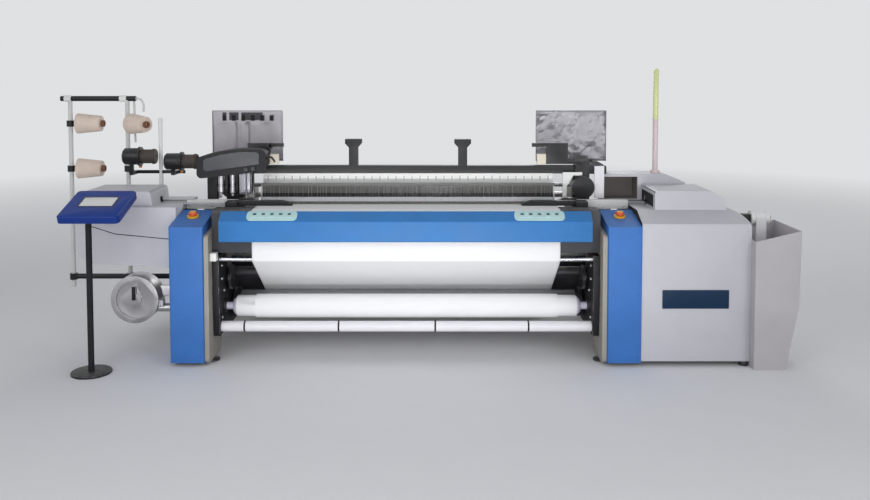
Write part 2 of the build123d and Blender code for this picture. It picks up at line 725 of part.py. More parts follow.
def stop_plane():
    """The place of the right stop button: on the sloping top, square to it."""
    rise = COLUMN_BACK_TOP_Z - COLUMN_FRONT_TOP_Z
    slope = math.degrees(math.atan2(rise, COLUMN_DEPTH))
    z = COLUMN_FRONT_TOP_Z + rise * STOP_Y / COLUMN_DEPTH
    return Pos(COLUMN_INNER_X + COLUMN_WIDTH / 2, STOP_Y, z) * Rot(slope, 0, 0)


def stop_collar():
    """The ring around a stop button, standing on the cover."""
    ring = Pos(0, 0, STOP_COLLAR_HEIGHT / 2) * Cylinder(STOP_COLLAR_RADIUS, STOP_COLLAR_HEIGHT)
    bore = Cylinder(STOP_STEM_RADIUS + RUN_GAP, STOP_COLLAR_HEIGHT * 4)
    return stop_plane() * (ring - bore)


def stop_button():
    """The mushroom button: a stem through the cover and a domed cap above the collar."""
    base = STOP_COLLAR_HEIGHT + STOP_TRAVEL + RUN_GAP
    stem_bottom = base - STOP_STEM_LENGTH
    top = base + STOP_CAP_HEIGHT
    face = outline([
        (0, stem_bottom), (STOP_STEM_RADIUS, stem_bottom), (STOP_STEM_RADIUS, base),
        (STOP_CAP_RADIUS, base), (STOP_CAP_RADIUS, top - STOP_CAP_EDGE),
        (STOP_CAP_RADIUS - STOP_CAP_EDGE, top), (0, top),
    ])
    return stop_plane() * revolve(Plane.XZ * face, Axis.Z)


def apron():
    """The blue breast beam cover: one folded sheet with a tab at each end to the beam."""
    half = COVER_WALL / 2
    path = [
        (APRON_FRONT_Y + APRON_LIP, APRON_BOTTOM_Z + half),
        (APRON_FRONT_Y + half, APRON_BOTTOM_Z + half),
        (APRON_FRONT_Y + half, APRON_BEND_Z),
        (APRON_REAR_Y, APRON_TOP_Z - half),
        (APRON_REAR_Y, APRON_TOP_Z - half - APRON_REAR_LIP),
    ]
    radii = [APRON_BEND_RADIUS, APRON_BEND_RADIUS, COVER_WALL]
    sheet = prism_x(strip(path, radii, COVER_WALL), -APRON_HALF_LENGTH, APRON_HALF_LENGTH)
    for x1 in (-APRON_HALF_LENGTH + APRON_TAB_INSET + APRON_TAB_WIDTH, APRON_HALF_LENGTH - APRON_TAB_INSET):
        sheet += block(x1 - APRON_TAB_WIDTH, x1, APRON_FRONT_Y + APRON_LIP / 2, BREAST_FRONT_Y,
                       APRON_BOTTOM_Z, APRON_BOTTOM_Z + COVER_WALL)
    return sheet


def apron_slope():
    """The plane of the cover's sloping top, with its origin in the middle of the slope."""
    front = APRON_FRONT_Y + COVER_WALL / 2
    top = APRON_TOP_Z - COVER_WALL / 2
    rise = top - APRON_BEND_Z
    run = APRON_REAR_Y - front
    middle = (0, (front + APRON_REAR_Y) / 2, (top + APRON_BEND_Z) / 2)
    return Plane(origin=middle, x_dir=(1, 0, 0), z_dir=(0, -rise, run))


def keypads():
    """Two flat key panels on the slope, each with a row of raised membrane keys."""
    lift = COVER_WALL / 2 + SEAT_GAP
    pads = []
    for x in (-KEYPAD_X, KEYPAD_X):
        plate = extrude(RectangleRounded(KEYPAD_LENGTH, KEYPAD_WIDTH, KEYPAD_CORNER),
                        amount=KEYPAD_THICKNESS)
        for i in range(KEY_COUNT):
            place = (i - (KEY_COUNT - 1) / 2) * KEY_PITCH
            key = Rectangle(KEY_LENGTH, KEY_WIDTH)
            plate += Pos(place, 0, KEYPAD_THICKNESS) * extrude(key, amount=KEY_HEIGHT)
        pads.append(apron_slope() * Pos(x, 0, lift) * plate)
    return pads


def press_place():
    """Y and Z of the press roller beside the take-up roller, with the cloth between them."""
    reach = TAKEUP_RADIUS + PRESS_RADIUS + CLOTH_THICKNESS + 2 * RUN_GAP
    angle = math.radians(PRESS_ANGLE)
    return TAKEUP_Y + reach * math.cos(angle), TAKEUP_Z + reach * math.sin(angle)


def guide_bar_y():
    """The guide bar stands behind the hanging cloth."""
    return BREAST_FRONT_Y + GUIDE_BAR_RADIUS


def take_up_bracket():
    """The right dark bracket on the side frame that carries the rollers, the bar and the tube."""
    press_y, press_z = press_place()
    low = TUBE_Z - BRACKET_MARGIN
    points = [
        (TUBE_Y - BRACKET_MARGIN, low),
        (press_y, low),
        (press_y + BRACKET_MARGIN, press_z),
        (TAKEUP_Y + TAKEUP_RADIUS, TAKEUP_Z + TAKEUP_RADIUS),
        (SLEY_Y - SLEY_SHAFT_RADIUS - BRACKET_MARGIN, SLEY_Z - SLEY_SHAFT_RADIUS - BRACKET_MARGIN),
        (ROLL_Y + BRACKET_MARGIN, GUIDE_BAR_Z + BRACKET_MARGIN / 2),
        (guide_bar_y() - BRACKET_MARGIN / 2, GUIDE_BAR_Z + BRACKET_MARGIN / 2),
        (guide_bar_y() - BRACKET_MARGIN / 2, ROLL_Z + ROLL_RADIUS),
    ]
    plate = prism_x(outline(points), FRAME_INNER_X - BRACKET_THICKNESS, FRAME_INNER_X)
    holes = [
        (guide_bar_y(), GUIDE_BAR_Z, GUIDE_BAR_RADIUS),
        (TAKEUP_Y, TAKEUP_Z, TAKEUP_JOURNAL),
        (press_y, press_z, PRESS_JOURNAL),
        (ROLL_Y, ROLL_Z, ROLL_JOURNAL),
        (TUBE_Y, TUBE_Z, TUBE_RADIUS),
    ]
    for y, z, radius in holes:
        plate -= rod_x(FRAME_INNER_X - BRACKET_THICKNESS - OVERRUN, FRAME_INNER_X + OVERRUN, y, z,
                       radius + RUN_GAP)
    return plate


def front_bars():
    """The bright guide bar and the tie tube with its four joint rings."""
    guide = rod_x(-FRAME_INNER_X, FRAME_INNER_X, guide_bar_y(), GUIDE_BAR_Z, GUIDE_BAR_RADIUS)
    tube = rod_x(-FRAME_INNER_X, FRAME_INNER_X, TUBE_Y, TUBE_Z, TUBE_RADIUS)
    for x in TUBE_RING_X:
        tube += rod_x(x - TUBE_RING_LENGTH / 2, x + TUBE_RING_LENGTH / 2, TUBE_Y, TUBE_Z,
                      TUBE_RADIUS + TUBE_RING_HEIGHT)
    tube -= rod_x(-FRAME_INNER_X - OVERRUN, FRAME_INNER_X + OVERRUN, TUBE_Y, TUBE_Z,
                  TUBE_RADIUS - TUBE_WALL)
    return [guide, tube]


def roller(half_length, y, z, radius, journal):
    """A roller with a journal in the bracket at each end."""
    reach = FRAME_INNER_X - RUN_GAP
    return rod_x(-half_length, half_length, y, z, radius) + rod_x(-reach, reach, y, z, journal)


def take_up_roller():
    """The rough roller that pulls the cloth."""
    return roller(TAKEUP_HALF_LENGTH, TAKEUP_Y, TAKEUP_Z, TAKEUP_RADIUS, TAKEUP_JOURNAL)


def press_roller():
    """The small roller that presses the cloth onto the take-up roller."""
    y, z = press_place()
    return roller(CLOTH_WIDTH / 2, y, z, PRESS_RADIUS, PRESS_JOURNAL)


def cloth_roll():
    """Wound cloth on a core whose ends taper to their journals."""
    core = chamfer(rod_x(-ROLL_HALF_LENGTH, ROLL_HALF_LENGTH, ROLL_Y, ROLL_Z, ROLL_CORE_RADIUS).edges(),
                   ROLL_CORE_CHAMFER)
    cloth = rod_x(-CLOTH_WIDTH / 2, CLOTH_WIDTH / 2, ROLL_Y, ROLL_Z, ROLL_RADIUS)
    reach = FRAME_INNER_X - RUN_GAP
    return core + cloth + rod_x(-reach, reach, ROLL_Y, ROLL_Z, ROLL_JOURNAL)


def straight_run(first, second, over):
    """A straight run from under one circle to under the next, or over it, as a point and a slope.

    Each circle is its middle and radius.
    """
    (y0, z0, r0), (y1, z1, r1) = first, second
    angle = math.atan2(z1 - z0, y1 - y0)
    distance = math.hypot(y1 - y0, z1 - z0)
    angle += math.asin((r0 + (r1 if over else -r1)) / distance)
    touch = (y0 + r0 * math.sin(angle), z0 - r0 * math.cos(angle))
    return touch, math.tan(angle)


def cloth_sheet():
    """The woven cloth from the fell over the breast beam, round the take-up roller to the roll."""
    half = CLOTH_THICKNESS / 2
    level = CLOTH_LEVEL - half
    bar = GUIDE_BAR_RADIUS + RUN_GAP + half
    pull = TAKEUP_RADIUS + RUN_GAP + half
    wind = ROLL_RADIUS + RUN_GAP + half
    front = guide_bar_y() - bar
    back = TAKEUP_Y + pull
    (down_y, down_z), down = straight_run(
        (guide_bar_y(), GUIDE_BAR_Z, bar), (TAKEUP_Y, TAKEUP_Z, pull), over=True)
    (end_y, end_z), home = straight_run((ROLL_Y, ROLL_Z, wind), (TAKEUP_Y, TAKEUP_Z, pull), over=False)
    path = [
        (FELL_Y, level),
        (front, level),
        (front, down_z + down * (front - down_y)),
        (back, down_z + down * (back - down_y)),
        (back, end_z + home * (back - end_y)),
        (end_y, end_z),
    ]
    radii = [BREAST_NOSE_RADIUS + RUN_GAP + half, bar, pull, pull]
    return prism_x(strip(path, radii, CLOTH_THICKNESS), -CLOTH_WIDTH / 2, CLOTH_WIDTH / 2)


def sley():
    """Rocking shaft, swords and the grooved beam that holds the reed."""
    body = rod_x(-FRAME_INNER_X - FRAME_WEB, FRAME_INNER_X + FRAME_WEB, SLEY_Y, SLEY_Z, SLEY_SHAFT_RADIUS)
    beam_low = SLEY_BEAM_TOP_Z - SLEY_BEAM_HEIGHT
    sword = outline([
        (SLEY_Y - SLEY_SWORD_FOOT / 2, SLEY_Z),
        (SLEY_Y + SLEY_SWORD_FOOT / 2, SLEY_Z),
        (SLEY_Y + SLEY_SWORD_HEAD / 2, beam_low),
        (SLEY_Y - SLEY_SWORD_HEAD / 2, beam_low),
    ])
    for i in range(SLEY_SWORD_COUNT):
        x = (i - (SLEY_SWORD_COUNT - 1) / 2) * SLEY_SWORD_PITCH
        body += prism_x(sword, x - SLEY_SWORD_THICKNESS / 2, x + SLEY_SWORD_THICKNESS / 2)
    body += block(-REED_HALF_LENGTH, REED_HALF_LENGTH, SLEY_Y - SLEY_BEAM_DEPTH / 2,
                  SLEY_Y + SLEY_BEAM_DEPTH / 2, beam_low, SLEY_BEAM_TOP_Z)
    groove = block(-REED_HALF_LENGTH - OVERRUN, REED_HALF_LENGTH + OVERRUN, SLEY_Y - REED_THICKNESS / 2,
                   SLEY_Y + REED_THICKNESS / 2, SLEY_BEAM_TOP_Z - REED_GROOVE_DEPTH,
                   SLEY_BEAM_TOP_Z + OVERRUN)
    return body - groove


def reed():
    """The comb: a row of dents between two baulks, one dent in each gap of the warp."""
    z0 = REED_SLOT_BOTTOM_Z
    z1 = REED_SLOT_TOP_Z
    comb = block(-REED_HALF_LENGTH, REED_HALF_LENGTH, SLEY_Y - DENT_DEPTH / 2, SLEY_Y + DENT_DEPTH / 2,
                 z0 - OVERRUN, z1 + OVERRUN)
    edges = [-CLOTH_WIDTH / 2 - DENT_WIDTH / 2] + warp_gaps() + [CLOTH_WIDTH / 2 + DENT_WIDTH / 2]
    slots = [
        block(a + DENT_WIDTH / 2, b - DENT_WIDTH / 2, SLEY_Y - DENT_DEPTH, SLEY_Y + DENT_DEPTH, z0, z1)
        for a, b in zip(edges, edges[1:])
    ]
    comb -= slots
    for low, high in ((SLEY_BEAM_TOP_Z - REED_GROOVE_DEPTH, z0), (z1, REED_TOP_Z)):
        comb += block(-REED_HALF_LENGTH, REED_HALF_LENGTH, SLEY_Y - REED_THICKNESS / 2,
                      SLEY_Y + REED_THICKNESS / 2, low, high)
    return comb


def heald_frame(index):
    """One heald frame: rails, end stays, its share of the healds, guide blades and lift rods."""
    y = HEALD_FRAME_Y + index * HEALD_FRAME_PITCH
    y0 = y - HEALD_FRAME_THICKNESS / 2
    y1 = y + HEALD_FRAME_THICKNESS / 2
    half = HEALD_FRAME_HALF_LENGTH
    rail_low = HEALD_TOP_Z - HEALD_TOP_RAIL
    rail_high = HEALD_BOTTOM_Z + HEALD_BOTTOM_RAIL
    body = block(-half, half, y0, y1, HEALD_BOTTOM_Z, HEALD_TOP_Z)
    body -= block(-half + HEALD_STAY, half - HEALD_STAY, y0 - OVERRUN, y1 + OVERRUN, rail_high, rail_low)
    neck = HEALD_TOP_Z + BLADE_HEIGHT - BLADE_HEAD_HEIGHT
    for x in (-BLADE_X, BLADE_X):
        blade = outline([
            (x - BLADE_WIDTH / 2, HEALD_TOP_Z), (x + BLADE_WIDTH / 2, HEALD_TOP_Z),
            (x + BLADE_WIDTH / 2, neck - BLADE_HEAD_HEIGHT), (x + BLADE_HEAD_WIDTH / 2, neck),
            (x + BLADE_HEAD_WIDTH / 2, HEALD_TOP_Z + BLADE_HEIGHT),
            (x - BLADE_HEAD_WIDTH / 2, HEALD_TOP_Z + BLADE_HEIGHT),
            (x - BLADE_HEAD_WIDTH / 2, neck), (x - BLADE_WIDTH / 2, neck - BLADE_HEAD_HEIGHT),
        ])
        body += prism_y(blade, y0, y1)
    for x in (-LIFT_ROD_X, LIFT_ROD_X):
        body += block(x - LIFT_ROD_WIDTH / 2, x + LIFT_ROD_WIDTH / 2, y0, y1,
                      HEALD_BOTTOM_Z - LIFT_ROD_LENGTH, HEALD_BOTTOM_Z)
    healds = [
        block(x - HEALD_WIDTH / 2, x + HEALD_WIDTH / 2, y - HEALD_THICKNESS / 2, y + HEALD_THICKNESS / 2,
              rail_high, rail_low)
        for x in warp_gaps()[index::HEALD_FRAME_COUNT]
    ]
    return body + healds


def harness_guide():
    """The right harness guide: a slotted post, with an arm out and back to the end guard."""
    inner = HEALD_FRAME_HALF_LENGTH + RUN_GAP - GUIDE_SLOT_DEPTH
    first = HEALD_FRAME_Y - HEALD_FRAME_PITCH / 2 - GUIDE_POST_MARGIN
    last = HEALD_FRAME_Y + (HEALD_FRAME_COUNT - 1 / 2) * HEALD_FRAME_PITCH + GUIDE_POST_MARGIN
    post = block(inner, FRAME_INNER_X, first, last, GUIDE_POST_BOTTOM_Z, GUIDE_POST_TOP_Z)
    width = HEALD_FRAME_THICKNESS / 2 + RUN_GAP
    for i in range(HEALD_FRAME_COUNT):
        y = HEALD_FRAME_Y + i * HEALD_FRAME_PITCH
        post -= block(inner - OVERRUN, inner + GUIDE_SLOT_DEPTH, y - width, y + width,
                      HEALD_BOTTOM_Z - RUN_GAP, GUIDE_POST_TOP_Z + OVERRUN)
    arm_low = HEALD_TOP_Z - GUIDE_ARM_HEIGHT
    arm_end = FRAME_INNER_X + GUIDE_ARM_OUT
    arm = block(FRAME_INNER_X, arm_end, first, last, arm_low, HEALD_TOP_Z)
    arm += block(arm_end - GUIDE_ARM_WIDTH, arm_end, first, GUARD_Y + GUARD_WALL + GUARD_POST_WIDTH,
                 arm_low, HEALD_TOP_Z)
    upright = block(arm_end - GUIDE_ARM_WIDTH, arm_end - GUIDE_ARM_WIDTH + GUARD_POST_WIDTH,
                    GUARD_Y + GUARD_WALL, GUARD_Y + GUARD_WALL + GUARD_POST_WIDTH, arm_low, GUARD_POST_TOP_Z)
    return post + arm + upright


def guide_fittings():
    """What the right harness guide carries on its front: disc, panel, lever, bracket and block."""
    face_y = HEALD_FRAME_Y - HEALD_FRAME_PITCH / 2 - GUIDE_POST_MARGIN
    inner = HEALD_FRAME_HALF_LENGTH + RUN_GAP - GUIDE_SLOT_DEPTH
    disc_x = (inner + FRAME_INNER_X) / 2
    disc = rod_y(disc_x, face_y - GUIDE_DISC_LENGTH, face_y, GUIDE_DISC_Z, GUIDE_DISC_RADIUS)
    x = disc_x + GUIDE_DISC_RADIUS + GUIDE_FITTING_GAP
    panel = block(x, x + GUIDE_PANEL_WIDTH, face_y - GUIDE_PANEL_THICKNESS, face_y, GUIDE_PANEL_BOTTOM_Z,
                  HEALD_TOP_Z)
    near_y = face_y - GUIDE_LEVER_THICKNESS
    x = inner - GUIDE_LEVER_REACH
    edge = x + GUIDE_LEVER_WIDTH
    low = GUIDE_DISC_Z + GUIDE_DISC_RADIUS + GUIDE_FITTING_GAP
    lever = outline([
        (x, GUIDE_LEVER_BOTTOM_Z), (edge, GUIDE_LEVER_BOTTOM_Z), (edge, low - GUIDE_GUSSET_HEIGHT),
        (edge + GUIDE_GUSSET_WIDTH, low), (inner + GUIDE_LEVER_LAP, low),
        (inner + GUIDE_LEVER_LAP, low + GUIDE_LEVER_BAR), (x, low + GUIDE_LEVER_BAR),
    ])
    foot_x = inner - GUIDE_BRACKET_REACH
    bar_low = GUIDE_POST_TOP_Z - GUIDE_BRACKET_BAR
    bracket = block(foot_x, inner + GUIDE_LEVER_LAP, near_y, face_y, bar_low, GUIDE_POST_TOP_Z)
    bracket += block(foot_x, foot_x + GUIDE_BRACKET_WIDTH, near_y, face_y, bar_low, GUIDE_BRACKET_TOP_Z)
    bracket += block(foot_x - GUIDE_BRACKET_ARM, foot_x + GUIDE_BRACKET_WIDTH, near_y, face_y,
                     GUIDE_BRACKET_TOP_Z, GUIDE_BRACKET_TOP_Z + GUIDE_BRACKET_ARM_HEIGHT)
    held = block(foot_x - GUIDE_BLOCK_WIDTH, foot_x, face_y - GUIDE_BLOCK_DEPTH, face_y, bar_low,
                 bar_low + GUIDE_BLOCK_HEIGHT)
    return [disc, panel, prism_y(lever, near_y, face_y), bracket, held]


def end_guard():
    """The right bright guard: a folded sheet."""
    sheet = block(GUARD_INNER_X, GUARD_OUTER_X, GUARD_Y, GUARD_Y + GUARD_WALL, GUARD_BOTTOM_Z, GUARD_TOP_Z)
    for x in (GUARD_INNER_X, GUARD_OUTER_X - GUARD_WALL):
        sheet += block(x, x + GUARD_WALL, GUARD_Y - GUARD_FLANGE, GUARD_Y, GUARD_BOTTOM_Z, GUARD_TOP_Z)
    return sheet


def slotted_guard():
    """The left guard: the same sheet turned round, with a row of slots along its top."""
    sheet = mirror(end_guard(), Plane.YZ)
    middle = -(GUARD_INNER_X + GUARD_OUTER_X) / 2
    top = GUARD_TOP_Z - GUARD_FLANGE
    for i in range(GUARD_SLOT_COUNT):
        x = middle + (i - (GUARD_SLOT_COUNT - 1) / 2) * GUARD_SLOT_PITCH
        sheet -= block(x - GUARD_SLOT_WIDTH / 2, x + GUARD_SLOT_WIDTH / 2, GUARD_Y - OVERRUN,
                       GUARD_Y + GUARD_WALL + OVERRUN, top - GUARD_SLOT_HEIGHT, top)
    return sheet


def rapier():
    """The right rapier: a gripper head with jaws, on its tape."""
    head_end = RAPIER_TIP_X + RAPIER_HEAD_LENGTH
    tape = block(head_end - RAPIER_NOSE, TAPE_TAIL_X, RAPIER_Y - TAPE_WIDTH / 2, RAPIER_Y + TAPE_WIDTH / 2,
                 TAPE_LEVEL, TAPE_LEVEL + TAPE_THICKNESS)
    low = RAPIER_HEAD_BOTTOM_Z
    profile = outline([
        (RAPIER_TIP_X, low), (head_end, low), (head_end, RAPIER_HEAD_TOP_Z),
        (RAPIER_TIP_X + RAPIER_NOSE, RAPIER_HEAD_TOP_Z), (RAPIER_TIP_X, TAPE_LEVEL),
    ])
    head = prism_y(profile, RAPIER_Y - RAPIER_HEAD_WIDTH / 2, RAPIER_Y + RAPIER_HEAD_WIDTH / 2)
    jaw = block(RAPIER_TIP_X - OVERRUN, RAPIER_TIP_X + RAPIER_JAW_LENGTH, RAPIER_Y - RAPIER_JAW_WIDTH / 2,
                RAPIER_Y + RAPIER_JAW_WIDTH / 2, TAPE_LEVEL, RAPIER_HEAD_TOP_Z + OVERRUN)
    return head + tape - jaw


def rapier_rail():
    """The right channel that the tape slides in, on a pedestal on the side frame."""
    half = TAPE_WIDTH / 2 + RUN_GAP
    floor = TAPE_LEVEL - RUN_GAP
    rail = block(RAIL_INNER_X, RAIL_OUTER_X, RAPIER_Y - half - RAIL_WALL, RAPIER_Y + half + RAIL_WALL,
                 floor - RAIL_HEIGHT, floor + RAIL_LIP)
    rail -= block(RAIL_INNER_X - OVERRUN, RAIL_OUTER_X + OVERRUN, RAPIER_Y - half, RAPIER_Y + half, floor,
                  floor + RAIL_LIP + OVERRUN)
    middle = FRAME_INNER_X + FRAME_THICKNESS / 2
    rail += block(middle - RAIL_PEDESTAL_LENGTH / 2, middle + RAIL_PEDESTAL_LENGTH / 2,
                  RAPIER_Y - half - RAIL_WALL, RAPIER_Y + half + RAIL_WALL, rail_seat_z(),
                  floor - RAIL_HEIGHT)
    return rail


def rail_seat_z():
    """Height of the side frame's sloping top edge under the back of the rail."""
    back = RAPIER_Y + TAPE_WIDTH / 2 + RUN_GAP + RAIL_WALL
    return frame_top_z(back)


def wheel_z():
    """Height of the rapier wheels: the tape runs over their top."""
    return TAPE_LEVEL - RUN_GAP - WHEEL_RADIUS


def rapier_wheel():
    """The right rapier wheel with its lightening holes, on a shaft that runs back."""
    y0 = RAPIER_Y - TAPE_WIDTH / 2
    y1 = RAPIER_Y + TAPE_WIDTH / 2
    z = wheel_z()
    wheel = rod_y(WHEEL_X, y0, y1, z, WHEEL_RADIUS)
    wheel -= rod_y(WHEEL_X, y0 - OVERRUN, y1 - WHEEL_WEB, z, WHEEL_RADIUS - WHEEL_RIM)
    ring = (WHEEL_RADIUS - WHEEL_RIM + WHEEL_HUB_RADIUS) / 2
    for i in range(WHEEL_HOLE_COUNT):
        angle = 2 * math.pi * i / WHEEL_HOLE_COUNT
        wheel -= rod_y(WHEEL_X + ring * math.cos(angle), y0, y1 + OVERRUN, z + ring * math.sin(angle),
                       WHEEL_HOLE_RADIUS)
    wheel += rod_y(WHEEL_X, y0, y1, z, WHEEL_HUB_RADIUS)
    return wheel + rod_y(WHEEL_X, y1, y1 + WHEEL_SHAFT_LENGTH, z, WHEEL_SHAFT_RADIUS)


def rapier_gearbox():
    """The right rapier gearbox behind the wheel, on an arm from the side frame."""
    y0 = RAPIER_Y + TAPE_WIDTH / 2 + WHEEL_WEB
    y1 = y0 + GEARBOX_DEPTH
    z = wheel_z()
    box = block(WHEEL_X - GEARBOX_SIZE / 2, WHEEL_X + GEARBOX_SIZE / 2, y0, y1, z - GEARBOX_SIZE / 2,
                z + GEARBOX_SIZE / 2)
    box += block(FRAME_INNER_X + FRAME_WEB, WHEEL_X, y1 - GEARBOX_ARM, y1, z - GEARBOX_ARM, z)
    return box - rod_y(WHEEL_X, y0 - OVERRUN, y1 + OVERRUN, z, WHEEL_SHAFT_RADIUS + RUN_GAP)


def drive_units():
    """Both rapier gearboxes, the finned main motor and the let-off motor."""
    left, right = both_sides(rapier_gearbox())
    x0 = FRAME_INNER_X + FRAME_WEB
    motor = rod_x(x0, x0 + MOTOR_LENGTH, MOTOR_Y, MOTOR_Z, MOTOR_RADIUS)
    motor += rod_x(x0, x0 + MOTOR_FLANGE_LENGTH, MOTOR_Y, MOTOR_Z, MOTOR_FLANGE_RADIUS)
    for i in range(MOTOR_FIN_COUNT):
        x = x0 + MOTOR_FLANGE_LENGTH + (i + 1) * MOTOR_FIN_PITCH
        motor += rod_x(x, x + MOTOR_FIN_WIDTH, MOTOR_Y, MOTOR_Z, MOTOR_RADIUS + MOTOR_FIN_HEIGHT)
    let_off = rod_x(-x0 - LETOFF_LENGTH, -x0, LETOFF_Y, LETOFF_Z, LETOFF_RADIUS)
    return [left, right, motor, let_off]


def left_housing():
    """The left grey housing with its deck, and the hood over the rapier wheel."""
    x1 = -COLUMN_INNER_X - COLUMN_WIDTH - SEAT_GAP
    face = outline([
        (x1, HOUSING_BOTTOM_Z), (x1, HOUSING_DECK_Z), (-HOUSING_END_X, HOUSING_DECK_Z),
        (-HOUSING_END_X, HOUSING_END_BOTTOM_Z), (-HOUSING_CHAMFER_X, HOUSING_CHAMFER_Z),
    ])
    left = [v for v in face.vertices() if v.X < -HOUSING_CHAMFER_X + OVERRUN]
    face = fillet(left, HOUSING_RADIUS)
    shell = prism_y(face, HOUSING_FRONT_Y, HOUSING_BACK_Y)
    shell -= prism_y(offset(face, -COVER_WALL), HOUSING_FRONT_Y + COVER_WALL, HOUSING_BACK_Y - COVER_WALL)
    shell -= block(-HOUSING_END_X + HOUSING_RADIUS + HOOD_SLOPE, -HOOD_INNER_X - HOOD_SLOPE,
                   HOOD_FRONT_Y + HOOD_SLOPE, HOOD_BACK_Y - HOOD_SLOPE,
                   HOUSING_DECK_Z - COVER_WALL - OVERRUN, HOUSING_DECK_Z + OVERRUN)
    shell -= block(x1 - COVER_WALL - OVERRUN, x1 + OVERRUN, COLUMN_DEPTH, HOUSING_BACK_Y - FRAME_RIM,
                   HOUSING_BOTTOM_Z + FRAME_RIM, HOUSING_DECK_Z - FRAME_RIM)
    shell += block(x1 - OVERRUN, -DECK_INNER_X, DECK_FRONT_Y, DECK_FRONT_Y + DECK_DEPTH,
                   HOUSING_DECK_Z - COVER_WALL, HOUSING_DECK_Z)
    return [shell, hood()]


def hood():
    """The raised left hood, open below, with a slot in its inner end for the tape."""
    low = HOUSING_DECK_Z
    points = [
        (-HOUSING_END_X, low), (-HOOD_INNER_X, low), (-HOOD_INNER_X - HOOD_SLOPE / 2, HOOD_TOP_Z),
        (-HOUSING_END_X + HOOD_SLOPE, HOOD_TOP_Z),
    ]
    face = outline(points)
    face = fillet(face.vertices().group_by(Axis.Y)[-1], HOOD_RADIUS)
    shell = prism_y(face, HOOD_FRONT_Y, HOOD_BACK_Y)
    inside = [
        (-HOUSING_END_X + COVER_WALL, low - OVERRUN), (-HOOD_INNER_X - COVER_WALL, low - OVERRUN),
        (-HOOD_INNER_X - COVER_WALL, low),
        (-HOOD_INNER_X - HOOD_SLOPE / 2 - COVER_WALL, HOOD_TOP_Z - COVER_WALL),
        (-HOUSING_END_X + HOOD_SLOPE + COVER_WALL, HOOD_TOP_Z - COVER_WALL),
        (-HOUSING_END_X + COVER_WALL, low),
    ]
    shell -= prism_y(outline(inside), HOOD_FRONT_Y + COVER_WALL, HOOD_BACK_Y - COVER_WALL)
    return shell - tape_slot(-HOOD_INNER_X, low)


def tape_slot(x, low):
    """The opening in a hood's end that lets the rail and the tape in."""
    half = TAPE_WIDTH / 2 + RAIL_WALL + OVERRUN
    return block(x - HOOD_SLOPE, x + HOOD_SLOPE, RAPIER_Y - half, RAPIER_Y + half, low - OVERRUN,
                 TAPE_LEVEL + RAIL_HEIGHT)


def drive_cabinet():
    """The right grey cabinet, open below, with a groove where its front leans back to the hood."""
    x0 = COLUMN_INNER_X + COLUMN_WIDTH + SEAT_GAP
    corners = [(x0, CABINET_BOTTOM_Z), (CABINET_END_X, CABINET_BOTTOM_Z), (CABINET_END_X, CABINET_TOP_Z),
               (x0, CABINET_TOP_Z)]
    face = make_face(Polyline(*corners, close=True))
    corner = face.vertices().sort_by(Axis.X)[-2:].sort_by(Axis.Y)[-1]
    face = fillet(corner, CABINET_RADIUS)
    shell = prism_y(face, CABINET_FRONT_Y, CABINET_BACK_Y)
    rise = (CABINET_TOP_Z - CABINET_SKIRT_Z) / (RIGHT_HOOD_FRONT_Y - CABINET_FRONT_Y)
    shell -= cabinet_slope(rise, x0, 0)
    x1 = CABINET_END_X - COVER_WALL
    low = CABINET_BOTTOM_Z - OVERRUN
    high = CABINET_TOP_Z - COVER_WALL
    hollow = [(x0 - OVERRUN, low), (x1, low), (x1, high), (x0 - OVERRUN, high)]
    inner = make_face(Polyline(*hollow, close=True))
    corner = inner.vertices().sort_by(Axis.X)[-2:].sort_by(Axis.Y)[-1]
    inner = fillet(corner, CABINET_RADIUS - COVER_WALL)
    room = prism_y(inner, CABINET_FRONT_Y + COVER_WALL, CABINET_BACK_Y - COVER_WALL)
    shell -= room - cabinet_slope(rise, x0, COVER_WALL * (1 + rise ** 2) ** 0.5)
    shell -= block(RIGHT_HOOD_INNER_X + HOOD_SLOPE, RIGHT_HOOD_END_X - HOOD_SLOPE,
                   RIGHT_HOOD_FRONT_Y + HOOD_SLOPE, RIGHT_HOOD_BACK_Y - HOOD_SLOPE,
                   CABINET_TOP_Z - COVER_WALL - OVERRUN, CABINET_TOP_Z + OVERRUN)
    shell -= block(x0 - OVERRUN, CABINET_END_X + OVERRUN, CABINET_FRONT_Y - OVERRUN,
                   CABINET_FRONT_Y + COVER_WALL / 2, CABINET_SKIRT_Z - CABINET_GROOVE, CABINET_SKIRT_Z)
    return shell


def cabinet_slope(rise, x0, drop):
    """The wedge that is left off above the cabinet's leaning front, lowered by a drop."""
    y0 = CABINET_FRONT_Y - OVERRUN
    y1 = RIGHT_HOOD_FRONT_Y + (drop + OVERRUN) / rise
    low = CABINET_SKIRT_Z - rise * OVERRUN - drop
    wedge = outline([(y0, low), (y1, CABINET_TOP_Z + OVERRUN), (y0, CABINET_TOP_Z + OVERRUN)])
    return prism_x(wedge, x0 - OVERRUN, CABINET_END_X + OVERRUN)


